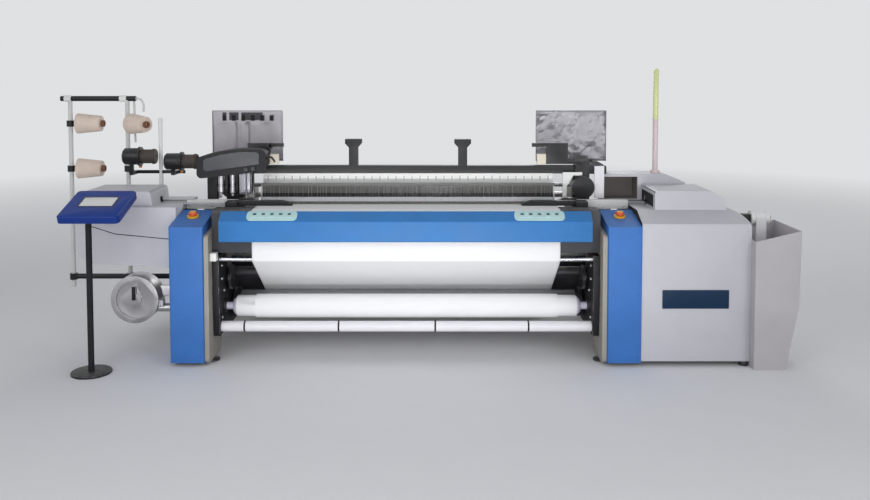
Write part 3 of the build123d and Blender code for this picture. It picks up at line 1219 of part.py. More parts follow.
def right_hoods():
    """The right hood over the rapier wheel, and the taller recessed box behind it."""
    low = CABINET_TOP_Z
    face = outline([
        (RIGHT_HOOD_INNER_X, low), (RIGHT_HOOD_END_X, low), (RIGHT_HOOD_HIP_X, RIGHT_HOOD_HIP_Z),
        (RIGHT_HOOD_SHOULDER_X, RIGHT_HOOD_TOP_Z), (RIGHT_HOOD_INNER_X, RIGHT_HOOD_TOP_Z),
    ])
    face = fillet([v for v in face.vertices() if v.Y > low + OVERRUN], HOOD_RADIUS)
    shell = prism_y(face, RIGHT_HOOD_FRONT_Y, RIGHT_HOOD_BACK_Y)
    inside = outline([
        (RIGHT_HOOD_INNER_X + COVER_WALL, low - OVERRUN), (RIGHT_HOOD_END_X - COVER_WALL, low - OVERRUN),
        (RIGHT_HOOD_END_X - COVER_WALL, low), (RIGHT_HOOD_HIP_X - COVER_WALL, RIGHT_HOOD_HIP_Z - COVER_WALL),
        (RIGHT_HOOD_SHOULDER_X, RIGHT_HOOD_TOP_Z - 2 * COVER_WALL),
        (RIGHT_HOOD_INNER_X + COVER_WALL, RIGHT_HOOD_TOP_Z - 2 * COVER_WALL),
    ])
    shell -= prism_y(inside, RIGHT_HOOD_FRONT_Y + COVER_WALL, RIGHT_HOOD_BACK_Y - COVER_WALL)
    shell -= tape_slot(RIGHT_HOOD_INNER_X, low)
    rear = outline([
        (REAR_BOX_INNER_X, low), (REAR_BOX_END_X, low), (REAR_BOX_END_X, REAR_BOX_END_Z),
        (REAR_BOX_SHOULDER_X, REAR_BOX_TOP_Z), (REAR_BOX_INNER_X, REAR_BOX_TOP_Z),
    ])
    rear = fillet([v for v in rear.vertices() if v.Y > low + OVERRUN], HOOD_RADIUS / 2)
    box = prism_y(rear, REAR_BOX_FRONT_Y, CABINET_BACK_Y)
    box -= block(REAR_BOX_INNER_X + REAR_BOX_WALL, REAR_BOX_RECESS_END_X, REAR_BOX_FRONT_Y - OVERRUN,
                 REAR_BOX_FRONT_Y + REAR_BOX_RECESS_DEPTH, low + REAR_BOX_WALL,
                 REAR_BOX_TOP_Z - REAR_BOX_WALL)
    return [shell, box]


def signal_pole():
    """The lower tube of the signal column on its round base."""
    low = REAR_BOX_TOP_Z
    pole = rod_z(SIGNAL_X, SIGNAL_Y, low, low + SIGNAL_BASE_HEIGHT, SIGNAL_BASE_RADIUS)
    pole += rod_z(SIGNAL_X, SIGNAL_Y, low, SIGNAL_SPLIT_Z, SIGNAL_RADIUS)
    return pole


def signal_lamp():
    """The long lens of the signal column, with a foot ring and a closed top."""
    lamp = rod_z(SIGNAL_X, SIGNAL_Y, SIGNAL_SPLIT_Z, SIGNAL_TOP_Z, SIGNAL_RADIUS)
    lamp += rod_z(SIGNAL_X, SIGNAL_Y, SIGNAL_SPLIT_Z, SIGNAL_SPLIT_Z + SIGNAL_RING_HEIGHT,
                  SIGNAL_RADIUS + SIGNAL_RING)
    return chamfer(lamp.edges().sort_by(Axis.Z)[-1], SIGNAL_RADIUS / 2)


def waste_roller():
    """The white roller that draws off the waste selvedge, bored for its shaft."""
    roll = rod_x(WASTE_ROLLER_X, WASTE_ROLLER_X + WASTE_ROLLER_LENGTH, WASTE_ROLLER_Y, WASTE_ROLLER_Z,
                 WASTE_ROLLER_RADIUS)
    bore = rod_x(WASTE_ROLLER_X - OVERRUN, WASTE_ROLLER_X + WASTE_ROLLER_LENGTH + OVERRUN, WASTE_ROLLER_Y,
                 WASTE_ROLLER_Z, WASTE_SHAFT_RADIUS + RUN_GAP)
    return roll - bore


def waste_arm():
    """The dark arm on the cabinet's end, with the roller's shaft and its end collar."""
    half = WASTE_ARM_WIDTH / 2
    arm = block(CABINET_END_X, WASTE_ROLLER_X - RUN_GAP, WASTE_ROLLER_Y - half, WASTE_ROLLER_Y + half,
                WASTE_ROLLER_Z - WASTE_ARM_LENGTH, WASTE_ROLLER_Z + half)
    end = WASTE_ROLLER_X + WASTE_ROLLER_LENGTH + RUN_GAP
    arm += rod_x(CABINET_END_X, end + WASTE_SHAFT_END, WASTE_ROLLER_Y, WASTE_ROLLER_Z, WASTE_SHAFT_RADIUS)
    arm += rod_x(end, end + WASTE_SHAFT_END, WASTE_ROLLER_Y, WASTE_ROLLER_Z, 2 * WASTE_SHAFT_RADIUS)
    return arm


def waste_ribbon():
    """The waste selvedge over the roller, hanging into the bin."""
    reach = WASTE_ROLLER_RADIUS + RUN_GAP + CLOTH_THICKNESS / 2
    top = WASTE_ROLLER_Z + reach
    path = [
        (WASTE_ROLLER_Y + reach, RIBBON_BACK_Z), (WASTE_ROLLER_Y + reach, top),
        (WASTE_ROLLER_Y - reach, top), (WASTE_ROLLER_Y - reach, RIBBON_END_Z),
    ]
    bend = reach - RIBBON_BEND_RELIEF
    middle = WASTE_ROLLER_X + WASTE_ROLLER_LENGTH / 2
    return prism_x(strip(path, [bend, bend], CLOTH_THICKNESS), middle - RIBBON_WIDTH / 2,
                   middle + RIBBON_WIDTH / 2)


def waste_bin():
    """The open bin beside the cabinet, upright above its knee and tapered below it."""
    x0 = CABINET_END_X + BIN_GAP
    outer = outline([
        (x0, 0), (BIN_BOTTOM_X, 0), (BIN_KNEE_X, BIN_KNEE_Z), (BIN_TOP_X, BIN_OUTER_TOP_Z),
        (x0, BIN_INNER_TOP_Z),
    ])
    body = prism_y(outer, BIN_FRONT_Y, BIN_BACK_Y)
    low_lean = (BIN_KNEE_X - BIN_BOTTOM_X) / BIN_KNEE_Z
    high_lean = (BIN_TOP_X - BIN_KNEE_X) / (BIN_OUTER_TOP_Z - BIN_KNEE_Z)
    over = BIN_OUTER_TOP_Z + BIN_CORNER
    inside = outline([
        (x0 + BIN_WALL, BIN_WALL), (BIN_BOTTOM_X - BIN_WALL + low_lean * BIN_WALL, BIN_WALL),
        (BIN_KNEE_X - BIN_WALL, BIN_KNEE_Z),
        (BIN_KNEE_X - BIN_WALL + high_lean * (over - BIN_KNEE_Z), over), (x0 + BIN_WALL, over),
    ])
    return body - prism_y(inside, BIN_FRONT_Y + BIN_WALL, BIN_BACK_Y - BIN_WALL)


def creel_frame():
    """Two poles, a top bar, an arm to the side frame, clamps and pegs for the cones."""
    frame = rod_x(CREEL_BAR_LEFT_X, CREEL_BAR_RIGHT_X, CREEL_Y, CREEL_TOP_Z, CREEL_BAR_RADIUS)
    arm_end = -FRAME_INNER_X - FRAME_WEB
    frame += rod_x(CREEL_LEFT_X, arm_end, CREEL_Y, CREEL_ARM_Z, CREEL_BAR_RADIUS)
    frame += rod_z(CREEL_LEFT_X, CREEL_Y, CREEL_BOTTOM_Z, CREEL_TOP_Z, CREEL_POLE_RADIUS)
    frame += rod_z(CREEL_RIGHT_X, CREEL_Y, CREEL_ARM_Z, CREEL_TOP_Z, CREEL_POLE_RADIUS)
    clamps = [(CREEL_LEFT_X, z) for z in (CREEL_ARM_Z, CREEL_LOW_CONE_Z, CREEL_HIGH_CONE_Z)]
    clamps += [(CREEL_RIGHT_X, z) for z in (CREEL_ARM_Z, CREEL_LOW_CONE_Z, CREEL_HIGH_CONE_Z)]
    for x, z in clamps:
        frame += rod_z(x, CREEL_Y, z - CREEL_CLAMP_HEIGHT / 2, z + CREEL_CLAMP_HEIGHT / 2,
                       CREEL_CLAMP_RADIUS)
    for place in cone_places():
        frame += place * (Pos(PEG_LENGTH / 2, 0, 0) * Rot(0, 90, 0) * Cylinder(PEG_RADIUS, PEG_LENGTH))
    return frame


def cone_places():
    """Where each cone's peg leaves its pole, with the peg along local X."""
    return [
        Pos(CREEL_LEFT_X, CREEL_Y, CREEL_LOW_CONE_Z),
        Pos(CREEL_LEFT_X, CREEL_Y, CREEL_HIGH_CONE_Z),
        Pos(CREEL_RIGHT_X, CREEL_Y, CREEL_HIGH_CONE_Z) * Rot(0, 0, CONE_TURN),
    ]


def cone_cores():
    """The paper tubes on the pegs, standing out past the yarn."""
    cores = []
    for place in cone_places():
        length = CONE_LENGTH + CONE_CORE_STICKOUT
        tube = Cylinder(CONE_CORE_RADIUS, length) - Cylinder(PEG_RADIUS + RUN_GAP, length + OVERRUN)
        cores.append(place * Pos(CONE_START + length / 2, 0, 0) * Rot(0, 90, 0) * tube)
    return cores


def yarn_cones():
    """The wound cones, each bored for its paper tube."""
    cones = []
    for place in cone_places():
        solid = Cone(CONE_BASE_RADIUS, CONE_TIP_RADIUS, CONE_LENGTH)
        solid -= Cylinder(CONE_CORE_RADIUS, CONE_LENGTH + OVERRUN)
        cones.append(place * Pos(CONE_START + CONE_LENGTH / 2, 0, 0) * Rot(0, 90, 0) * solid)
    return cones


def feeder_place(index):
    """The back of a feeder's body, with its axis along local Z, pointing to the weave."""
    return Pos(FEEDER_X[index], FEEDER_Y, FEEDER_Z[index]) * Rot(0, 90, 0)


def feeder_body(index):
    """Motor body with a bore for the disc's shaft, and the arm down to its rail."""
    half = FEEDER_BODY_LENGTH / 2
    body = Pos(0, 0, half) * Cylinder(FEEDER_BODY_RADIUS, FEEDER_BODY_LENGTH)
    body = chamfer(body.edges().sort_by(Axis.Z)[0], FEEDER_SHAFT_RADIUS)
    body = feeder_place(index) * (body - Cylinder(FEEDER_SHAFT_RADIUS + RUN_GAP, FEEDER_BODY_LENGTH * 3))
    x = FEEDER_X[index] + half
    wide = STAND_RAIL_RADIUS
    body += block(x - wide, x + wide, FEEDER_Y - wide, FEEDER_Y + wide, STAND_RAIL_Z - wide,
                  FEEDER_Z[index] - FEEDER_BODY_RADIUS + OVERRUN)
    return body + block(x - wide, x + wide, FEEDER_Y, STAND_Y - wide - SEAT_GAP, STAND_RAIL_Z - wide,
                        STAND_RAIL_Z + wide)


def feeder_disc(index):
    """The winding disc with its eye arm, on a shaft through the body and into the drum."""
    z0 = FEEDER_BODY_LENGTH + RUN_GAP
    disc = Pos(0, 0, z0 + FEEDER_DISC_LENGTH / 2) * Cylinder(FEEDER_DISC_RADIUS, FEEDER_DISC_LENGTH)
    shaft_end = z0 + FEEDER_DISC_LENGTH + FEEDER_DRUM_LENGTH / 2
    disc += Pos(0, 0, shaft_end / 2) * Cylinder(FEEDER_SHAFT_RADIUS, shaft_end)
    disc += Pos(FEEDER_DISC_RADIUS, 0, z0 + FEEDER_DISC_LENGTH / 2) * Cylinder(
        FEEDER_EYE_ARM, FEEDER_DISC_LENGTH)
    return feeder_place(index) * disc


def feeder_drum(index):
    """The storage drum with its end lip and yarn winding, held still in front of the disc."""
    z0 = FEEDER_BODY_LENGTH + FEEDER_DISC_LENGTH + 2 * RUN_GAP
    drum = Cylinder(FEEDER_DRUM_RADIUS, FEEDER_DRUM_LENGTH)
    drum += Pos(0, 0, FEEDER_DRUM_LENGTH / 2 - FEEDER_DISC_LENGTH) * Cylinder(
        FEEDER_DRUM_RADIUS + FEEDER_LIP, FEEDER_DISC_LENGTH)
    drum = Pos(0, 0, z0 + FEEDER_DRUM_LENGTH / 2) * drum
    return feeder_place(index) * (drum - Cylinder(FEEDER_SHAFT_RADIUS + RUN_GAP, FEEDER_DRUM_LENGTH * 10))


def feeder_stand():
    """A post on the left deck with a cross rail that carries the feeders."""
    stand = rod_z(STAND_X, STAND_Y, HOUSING_DECK_Z, STAND_TOP_Z, STAND_RADIUS)
    return stand + rod_x(FEEDER_X[0], FEEDER_X[1] + FEEDER_BODY_LENGTH, STAND_Y, STAND_RAIL_Z,
                         STAND_RAIL_RADIUS)


def weft_presenter():
    """The black curved presenter box, leaning on a leg that stands on the left side frame."""
    y0 = PRESENTER_Y - PRESENTER_DEPTH / 2
    y1 = PRESENTER_Y + PRESENTER_DEPTH / 2
    low = Line((PRESENTER_OUTER_X, PRESENTER_OUTER_Z - PRESENTER_HEIGHT),
               (PRESENTER_INNER_X, PRESENTER_INNER_Z - PRESENTER_HEIGHT))
    middle = ((PRESENTER_OUTER_X + PRESENTER_INNER_X) / 2,
              (PRESENTER_OUTER_Z + PRESENTER_INNER_Z) / 2 + PRESENTER_BULGE)
    top = ThreePointArc((PRESENTER_OUTER_X, PRESENTER_OUTER_Z), middle,
                        (PRESENTER_INNER_X, PRESENTER_INNER_Z))
    face = make_face([low, top, Line(low @ 0, top @ 0), Line(low @ 1, top @ 1)])
    face = fillet(face.vertices(), PRESENTER_CORNER)
    body = prism_y(face, y0, y1)
    body += block(PRESENTER_LEG_X - PRESENTER_LEG_WIDTH / 2, PRESENTER_LEG_X + PRESENTER_LEG_WIDTH / 2,
                  y1 - PRESENTER_LEG_DEPTH, y1, leg_seat_z(), PRESENTER_OUTER_Z - PRESENTER_HEIGHT / 2)
    return body


def leg_seat_z():
    """Height of the side frame's sloping top edge under the back of the presenter's leg."""
    return frame_top_z(PRESENTER_Y + PRESENTER_DEPTH / 2)


def needle_places():
    """The needles' pivots in a row on the presenter's front face, with the pivot along local Z."""
    y = PRESENTER_Y - (PRESENTER_DEPTH + NEEDLE_HUB_LENGTH) / 2 - RUN_GAP
    rise = (PRESENTER_INNER_Z - PRESENTER_OUTER_Z) / (PRESENTER_INNER_X - PRESENTER_OUTER_X)
    places = []
    for i in range(NEEDLE_COUNT):
        x = PRESENTER_INNER_X - NEEDLE_PIVOT_INSET - i * NEEDLE_SPACING
        low = PRESENTER_INNER_Z - PRESENTER_HEIGHT + rise * (x - PRESENTER_INNER_X)
        places.append(Pos(x, y, low + 2 * NEEDLE_HUB_RADIUS) * Rot(90, 0, 0))
    return places


def presenter_needle(index):
    """One needle: a hub on its pivot and a thin finger down towards the weft path."""
    hub = Cylinder(NEEDLE_HUB_RADIUS, NEEDLE_HUB_LENGTH)
    finger = Pos(0, -NEEDLE_LENGTH / 2, 0) * Rot(90, 0, 0) * Cylinder(NEEDLE_RADIUS, NEEDLE_LENGTH)
    return needle_places()[index] * (hub + finger)


def temple():
    """The right temple: a long holder over the cloth's edge, seated on the breast beam."""
    low = CLOTH_LEVEL + SEAT_GAP
    y0 = TEMPLE_Y - TEMPLE_DEPTH / 2
    y1 = TEMPLE_Y + TEMPLE_DEPTH / 2
    profile = outline([
        (TEMPLE_INNER_X, low), (TEMPLE_OUTER_X, low), (TEMPLE_OUTER_X, low + TEMPLE_HEIGHT),
        (TEMPLE_INNER_X + TEMPLE_NOSE, low + TEMPLE_HEIGHT), (TEMPLE_INNER_X, low + TEMPLE_HEIGHT / 2),
    ])
    body = prism_y(profile, y0, y1)
    foot_y = BREAST_FRONT_Y + BREAST_DEPTH
    foot_z = CLOTH_LEVEL - CLOTH_THICKNESS - RUN_GAP
    return body + block(TEMPLE_OUTER_X - TEMPLE_FOOT_LENGTH, TEMPLE_OUTER_X, foot_y - TEMPLE_DEPTH, y1,
                        foot_z, low + TEMPLE_HEIGHT)


def warp_stand():
    """The right plate on the side frame that carries the back rest and the drop wire bars."""
    points = [
        (STAND_PLATE_FRONT_Y, STAND_PLATE_BOTTOM_Z), (STAND_PLATE_BACK_Y, STAND_PLATE_BOTTOM_Z),
        (STAND_PLATE_BACK_Y, STAND_PLATE_TOP_Z), (BACKREST_Y - BACKREST_RADIUS, STAND_PLATE_TOP_Z),
        (DROP_BAR_Y[1] + BACKREST_RADIUS, DROP_BAR_Z + BACKREST_RADIUS),
        (STAND_PLATE_FRONT_Y, DROP_BAR_Z + BACKREST_RADIUS),
    ]
    plate = prism_x(outline(points, FRAME_CORNER_RADIUS), FRAME_INNER_X - STAND_PLATE, FRAME_INNER_X)
    hole = rod_x(FRAME_INNER_X - STAND_PLATE - OVERRUN, FRAME_INNER_X + OVERRUN, BACKREST_Y, backrest_z(),
                 BACKREST_JOURNAL + RUN_GAP)
    return plate - hole


def backrest_z():
    """The back rest's top lies just under the warp."""
    return CLOTH_LEVEL - WARP_THICKNESS - RUN_GAP - BACKREST_RADIUS


def back_rest_roller():
    """The roller that turns the warp down to its beam."""
    return roller(BACKREST_HALF_LENGTH, BACKREST_Y, backrest_z(), BACKREST_RADIUS, BACKREST_JOURNAL)


def drop_wire_bars():
    """Contact bars across the warp, each with a row of drop wires hanging in the gaps."""
    bars = []
    reach = FRAME_INNER_X - STAND_PLATE
    for row, y in enumerate(DROP_BAR_Y):
        bar = block(-reach, reach, y - DROP_BAR_WIDTH / 2, y + DROP_BAR_WIDTH / 2, DROP_BAR_Z,
                    DROP_BAR_Z + DROP_BAR_HEIGHT)
        wires = [
            block(x - DROP_WIRE_THICKNESS / 2, x + DROP_WIRE_THICKNESS / 2, y - DROP_WIRE_WIDTH / 2,
                  y + DROP_WIRE_WIDTH / 2, DROP_BAR_Z - DROP_WIRE_DROP, DROP_BAR_Z + DROP_BAR_HEIGHT / 2)
            for x in warp_gaps()[row * 2::DROP_WIRE_STEP]
        ]
        bars.append(bar + wires)
    return bars


def warp_tangent():
    """Where the warp leaves the back rest and meets the wound yarn, on the outside of both."""
    gap = RUN_GAP + WARP_THICKNESS / 2
    r0 = BACKREST_RADIUS + gap
    r1 = WARP_BEAM_RADIUS + gap
    angle = math.atan2(WARP_BEAM_Z - backrest_z(), WARP_BEAM_Y - BACKREST_Y)
    distance = math.hypot(WARP_BEAM_Z - backrest_z(), WARP_BEAM_Y - BACKREST_Y)
    normal = angle + math.acos((r0 - r1) / distance)
    cos, sin = math.cos(normal), math.sin(normal)
    start = (BACKREST_Y + r0 * cos, backrest_z() + r0 * sin)
    end = (WARP_BEAM_Y + r1 * cos, WARP_BEAM_Z + r1 * sin)
    return start, end


def warp_sheet():
    """The warp from its beam over the back rest to the fell, split into bands past the healds."""
    level = CLOTH_LEVEL - WARP_THICKNESS / 2
    start, end = warp_tangent()
    slope = (end[1] - start[1]) / (end[0] - start[0])
    corner = (start[0] + (level - start[1]) / slope, level)
    path = [(FELL_Y + SEAT_GAP, level), corner, end]
    bend = BACKREST_RADIUS + RUN_GAP + WARP_THICKNESS / 2
    sheet = prism_x(strip(path, [bend], WARP_THICKNESS), -CLOTH_WIDTH / 2, CLOTH_WIDTH / 2)
    slots = [
        block(x - WARP_GAP / 2, x + WARP_GAP / 2, FELL_Y + WARP_FRONT_MARGIN, WARP_SLOT_END_Y,
              CLOTH_LEVEL - WARP_THICKNESS - OVERRUN, CLOTH_LEVEL + OVERRUN)
        for x in warp_gaps()
    ]
    return sheet - slots


def warp_beam():
    """The wound warp on its barrel, with a journal in each side frame."""
    reach = FRAME_INNER_X + FRAME_THICKNESS
    half = CLOTH_WIDTH / 2
    return rod_x(-half, half, WARP_BEAM_Y, WARP_BEAM_Z, WARP_BEAM_RADIUS) + rod_x(
        -reach, reach, WARP_BEAM_Y, WARP_BEAM_Z, WARP_BEAM_JOURNAL)


def beam_flange():
    """The right beam flange: a rim and a hub joined by a thin web with round holes."""
    x0 = CLOTH_WIDTH / 2
    x1 = x0 + FLANGE_THICKNESS
    flange = rod_x(x0, x1, WARP_BEAM_Y, WARP_BEAM_Z, FLANGE_RADIUS)
    flange -= rod_x(x0 + FLANGE_WEB, x1 + OVERRUN, WARP_BEAM_Y, WARP_BEAM_Z, FLANGE_RADIUS - FLANGE_RIM)
    flange += rod_x(x0, x1, WARP_BEAM_Y, WARP_BEAM_Z, FLANGE_HUB_RADIUS)
    ring = (FLANGE_RADIUS - FLANGE_RIM + FLANGE_HUB_RADIUS) / 2
    for i in range(FLANGE_SPOKE_COUNT):
        angle = 2 * math.pi * i / FLANGE_SPOKE_COUNT
        flange -= rod_x(x0 - OVERRUN, x1 + OVERRUN, WARP_BEAM_Y + ring * math.cos(angle),
                        WARP_BEAM_Z + ring * math.sin(angle), FLANGE_HOLE_RADIUS)
    return flange - rod_x(x0 - OVERRUN, x1 + OVERRUN, WARP_BEAM_Y, WARP_BEAM_Z, WARP_BEAM_JOURNAL)


def terminal_place():
    """The middle of the terminal, turned so that its face is local XY."""
    return Pos(TERMINAL_X, TERMINAL_Y, TERMINAL_Z) * Rot(TERMINAL_TILT, 0, 0)


def terminal_pivot():
    """Y and Z of the tilt pin under the terminal."""
    return TERMINAL_Y, TERMINAL_Z - TERMINAL_DROP


def terminal_housing():
    """The blue desk: a rounded slab with a screen recess and two lugs on its tilt pin."""
    slab = extrude(RectangleRounded(TERMINAL_WIDTH, TERMINAL_LENGTH, TERMINAL_CORNER),
                   amount=TERMINAL_THICKNESS / 2, both=True)
    slab = chamfer(slab.edges().group_by(Axis.Z)[-1], TERMINAL_EDGE)
    recess = Box(SCREEN_WIDTH, SCREEN_LENGTH, 2 * SCREEN_DEPTH)
    slab = terminal_place() * (slab - Pos(0, SCREEN_SHIFT, TERMINAL_THICKNESS / 2) * recess)
    y, z = terminal_pivot()
    for side in (-1, 1):
        x = POST_X + side * (TERMINAL_LUG_GAP + TERMINAL_LUG_THICKNESS) / 2
        lug = block(x - TERMINAL_LUG_THICKNESS / 2, x + TERMINAL_LUG_THICKNESS / 2, y - TERMINAL_LUG / 2,
                    y + TERMINAL_LUG / 2, z - TERMINAL_LUG / 2, TERMINAL_Z - TERMINAL_THICKNESS / 4)
        hole = rod_x(x - TERMINAL_LUG, x + TERMINAL_LUG, y, z, TERMINAL_PIN_RADIUS + RUN_GAP)
        slab += lug - hole
    return slab


def terminal_screen():
    """The display glass in its recess."""
    size = (SCREEN_WIDTH - 2 * SCREEN_GAP, SCREEN_LENGTH - 2 * SCREEN_GAP, SCREEN_DEPTH)
    return terminal_place() * Pos(0, SCREEN_SHIFT, TERMINAL_THICKNESS / 2 - SCREEN_DEPTH / 2) * Box(*size)


def terminal_post():
    """The floor post: a base plate, the tube, a tie to the housing and a head with the tilt pin."""
    y, z = terminal_pivot()
    post = rod_z(POST_X, y, 0, POST_BASE_HEIGHT, POST_BASE_RADIUS)
    post += rod_z(POST_X, y, 0, z, POST_RADIUS)
    reach = TERMINAL_LUG_GAP / 2 - RUN_GAP
    post += rod_x(POST_X - reach, POST_X + reach, y, z, POST_HEAD_RADIUS)
    post += rod_y(POST_X, y, HOUSING_FRONT_Y - SEAT_GAP, POST_TIE_Z, POST_TIE_RADIUS)
    pin = TERMINAL_LUG_GAP / 2 + TERMINAL_LUG_THICKNESS
    return post + rod_x(POST_X - pin, POST_X + pin, y, z, TERMINAL_PIN_RADIUS)


def suction_blower():
    """The round blower with a recessed face, its motor, its arm and its pipe to the side frame."""
    y0 = BLOWER_FRONT_Y
    y1 = y0 + BLOWER_LENGTH
    drum = rod_y(BLOWER_X, y0, y1, BLOWER_Z, BLOWER_RADIUS)
    drum -= rod_y(BLOWER_X, y0 - OVERRUN, y0 + BLOWER_FACE_DEPTH, BLOWER_Z, BLOWER_FACE_RADIUS)
    drum += rod_y(BLOWER_X, y0, y0 + BLOWER_FACE_DEPTH, BLOWER_Z, BLOWER_HUB_RADIUS)
    drum += block(BLOWER_X - BLOWER_HANDLE_WIDTH / 2, BLOWER_X + BLOWER_HANDLE_WIDTH / 2,
                  y0 - BLOWER_HANDLE_DEPTH, y0 + BLOWER_FACE_DEPTH, BLOWER_Z,
                  BLOWER_Z + BLOWER_HANDLE_LENGTH)
    drum += rod_y(BLOWER_X, y1, y1 + BLOWER_MOTOR_LENGTH, BLOWER_Z, BLOWER_MOTOR_RADIUS)
    frame_x = -FRAME_INNER_X - FRAME_WEB
    drum += block(BLOWER_X, frame_x, y1 - BLOWER_ARM_DEPTH, y1, BLOWER_Z, BLOWER_Z + BLOWER_ARM_HEIGHT)
    z = BLOWER_Z - PIPE_DROP + PIPE_RADIUS
    y = (y0 + y1) / 2
    pipe_start = BLOWER_X + math.sqrt(BLOWER_RADIUS ** 2 - (BLOWER_Z - z + PIPE_RADIUS) ** 2)
    pipe = rod_x(BLOWER_X, frame_x, y, z, PIPE_RADIUS)
    bore = rod_x(pipe_start, frame_x + OVERRUN, y, z, PIPE_RADIUS - PIPE_WALL)
    return drum + pipe - bore


def build_parts():
    """Every node's name with its solid or list of solids, in the loom's own frame."""
    left_frame, right_frame = both_sides(side_frame())
    left_cover, right_cover = both_sides(column_cover())
    left_stop, right_stop = both_sides(stop_button())
    left_rapier, right_rapier = both_sides(rapier())
    left_wheel, right_wheel = both_sides(rapier_wheel())
    guide_pairs = [side for fitting in guide_fittings() for side in both_sides(fitting)]
    parts = {
        "left_side_frame": left_frame,
        "right_side_frame": right_frame,
        "levelling_feet": levelling_feet(),
        "cross_beams": cross_beams(),
        "front_bars": front_bars(),
        "take_up_brackets": both_sides(take_up_bracket()),
        "breast_beam_cover": apron(),
        "keypads": keypads(),
        "left_column_cover": left_cover,
        "right_column_cover": right_cover,
        "stop_button_collars": both_sides(stop_collar()),
        "left_stop_button": left_stop,
        "right_stop_button": right_stop,
        "take_up_roller": take_up_roller(),
        "press_roller": press_roller(),
        "cloth_roll": cloth_roll(),
        "cloth_sheet": [cloth_sheet(), waste_ribbon()],
        "sley": sley(),
        "reed": reed(),
        "harness_guides": both_sides(harness_guide()) + guide_pairs,
        "end_guards": [slotted_guard(), end_guard()],
        "left_rapier": left_rapier,
        "right_rapier": right_rapier,
        "rapier_rails": both_sides(rapier_rail()),
        "left_rapier_wheel": left_wheel,
        "right_rapier_wheel": right_wheel,
        "drive_units": drive_units(),
        "left_housing": left_housing(),
        "drive_cabinet": drive_cabinet(),
        "right_hoods": right_hoods(),
        "signal_pole": signal_pole(),
        "signal_lamp": signal_lamp(),
        "waste_roller": waste_roller(),
        "waste_arm": waste_arm(),
        "waste_bin": waste_bin(),
        "creel_frame": [creel_frame(), feeder_stand()],
        "cone_cores": cone_cores(),
        "yarn_cones": yarn_cones(),
        "feeder_bodies": [feeder_body(i) for i in range(len(FEEDER_X))],
        "feeder_drums": [feeder_drum(i) for i in range(len(FEEDER_X))],
        "weft_presenter": weft_presenter(),
        "temples": both_sides(temple()),
        "warp_stands": both_sides(warp_stand()),
        "back_rest_roller": back_rest_roller(),
        "drop_wire_bars": drop_wire_bars(),
        "warp_sheet": warp_sheet(),
        "warp_beam": warp_beam(),
        "warp_beam_flanges": both_sides(beam_flange()),
        "terminal_housing": terminal_housing(),
        "terminal_screen": terminal_screen(),
        "terminal_post": terminal_post(),
        "suction_blower": suction_blower(),
    }
    for i in range(HEALD_FRAME_COUNT):
        parts[f"heald_frame_{i + 1}"] = heald_frame(i)
    for i in range(len(FEEDER_X)):
        parts[f"feeder_disc_{i + 1}"] = feeder_disc(i)
    for i in range(NEEDLE_COUNT):
        parts[f"presenter_needle_{i + 1}"] = presenter_needle(i)
    return parts


def as_compound(shape):
    """One compound of all the solids of a node."""
    pieces = shape if isinstance(shape, list) else [shape]
    return Compound(children=[solid for piece in pieces for solid in piece.solids()])


def footprint_shift(nodes):
    """The move that brings the middle of the footprint to the origin."""
    box = Compound(children=[Compound(children=node.solids()) for node in nodes.values()]).bounding_box()
    return Vector(-box.center().X, -box.center().Y, -box.min.Z)


def main():
    """Build every node, centre the loom on its footprint and write the files."""
    nodes = {name: as_compound(shape) for name, shape in build_parts().items()}
    shift = footprint_shift(nodes)
    os.makedirs("parts", exist_ok=True)
    for name, node in nodes.items():
        export_step(Pos(shift.X, shift.Y, shift.Z) * node, f"parts/{name}.step")


if __name__ == "__main__":
    main()
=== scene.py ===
"""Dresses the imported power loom: finishes, fine repeats, cloth, trim, stage and camera."""
import json
import math
import bmesh
import bpy
from mathutils import Matrix, Vector, noise as field


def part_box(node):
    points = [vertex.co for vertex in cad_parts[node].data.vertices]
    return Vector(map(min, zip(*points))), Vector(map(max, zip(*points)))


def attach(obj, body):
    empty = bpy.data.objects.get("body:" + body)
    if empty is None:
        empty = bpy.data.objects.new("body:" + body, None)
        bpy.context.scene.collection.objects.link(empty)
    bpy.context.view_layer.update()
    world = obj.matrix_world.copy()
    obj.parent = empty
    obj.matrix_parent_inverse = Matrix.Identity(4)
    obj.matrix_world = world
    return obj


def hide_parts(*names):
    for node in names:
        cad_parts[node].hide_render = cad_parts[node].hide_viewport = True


bl_info = {
    "name": "Power loom dressing",
    "version": (1, 0, 0),
    "blender": (4, 5, 0),
    "location": "View3D > Sidebar > Loom",
    "description": "Builds the finished surfaces and fine pieces of a rapier loom on its packed model",
    "category": "Object",
}

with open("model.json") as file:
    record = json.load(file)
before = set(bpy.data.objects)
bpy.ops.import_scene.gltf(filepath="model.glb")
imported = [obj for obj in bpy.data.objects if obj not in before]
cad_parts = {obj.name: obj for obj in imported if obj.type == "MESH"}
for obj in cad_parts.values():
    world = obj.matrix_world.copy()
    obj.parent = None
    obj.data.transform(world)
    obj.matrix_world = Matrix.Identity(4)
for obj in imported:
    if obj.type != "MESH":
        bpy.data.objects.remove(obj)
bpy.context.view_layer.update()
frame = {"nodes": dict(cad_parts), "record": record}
RECORD = frame["record"]
MM = 0.001
BODY_OF = {node: body for body, nodes in RECORD["behaviour"]["bodies"].items() for node in nodes}
SIDE_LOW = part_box("left_side_frame")[0]
SIDE_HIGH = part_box("right_side_frame")[1]
SHIFT_X = (SIDE_LOW.x + SIDE_HIGH.x) / 2
SHIFT_Y = SIDE_LOW.y - 0.008
FINISH = {}
GROUPS = {}
TREES = {}
BACKDROP = (0.74, 0.75, 0.76, 1.0)


def srgb(red, green, blue):
    """A written screen colour as linear values."""
    out = []
    for part in (red, green, blue):
        value = part / 255
        out.append(value / 12.92 if value <= 0.04045 else ((value + 0.055) / 1.055) ** 2.4)
    return tuple(out)


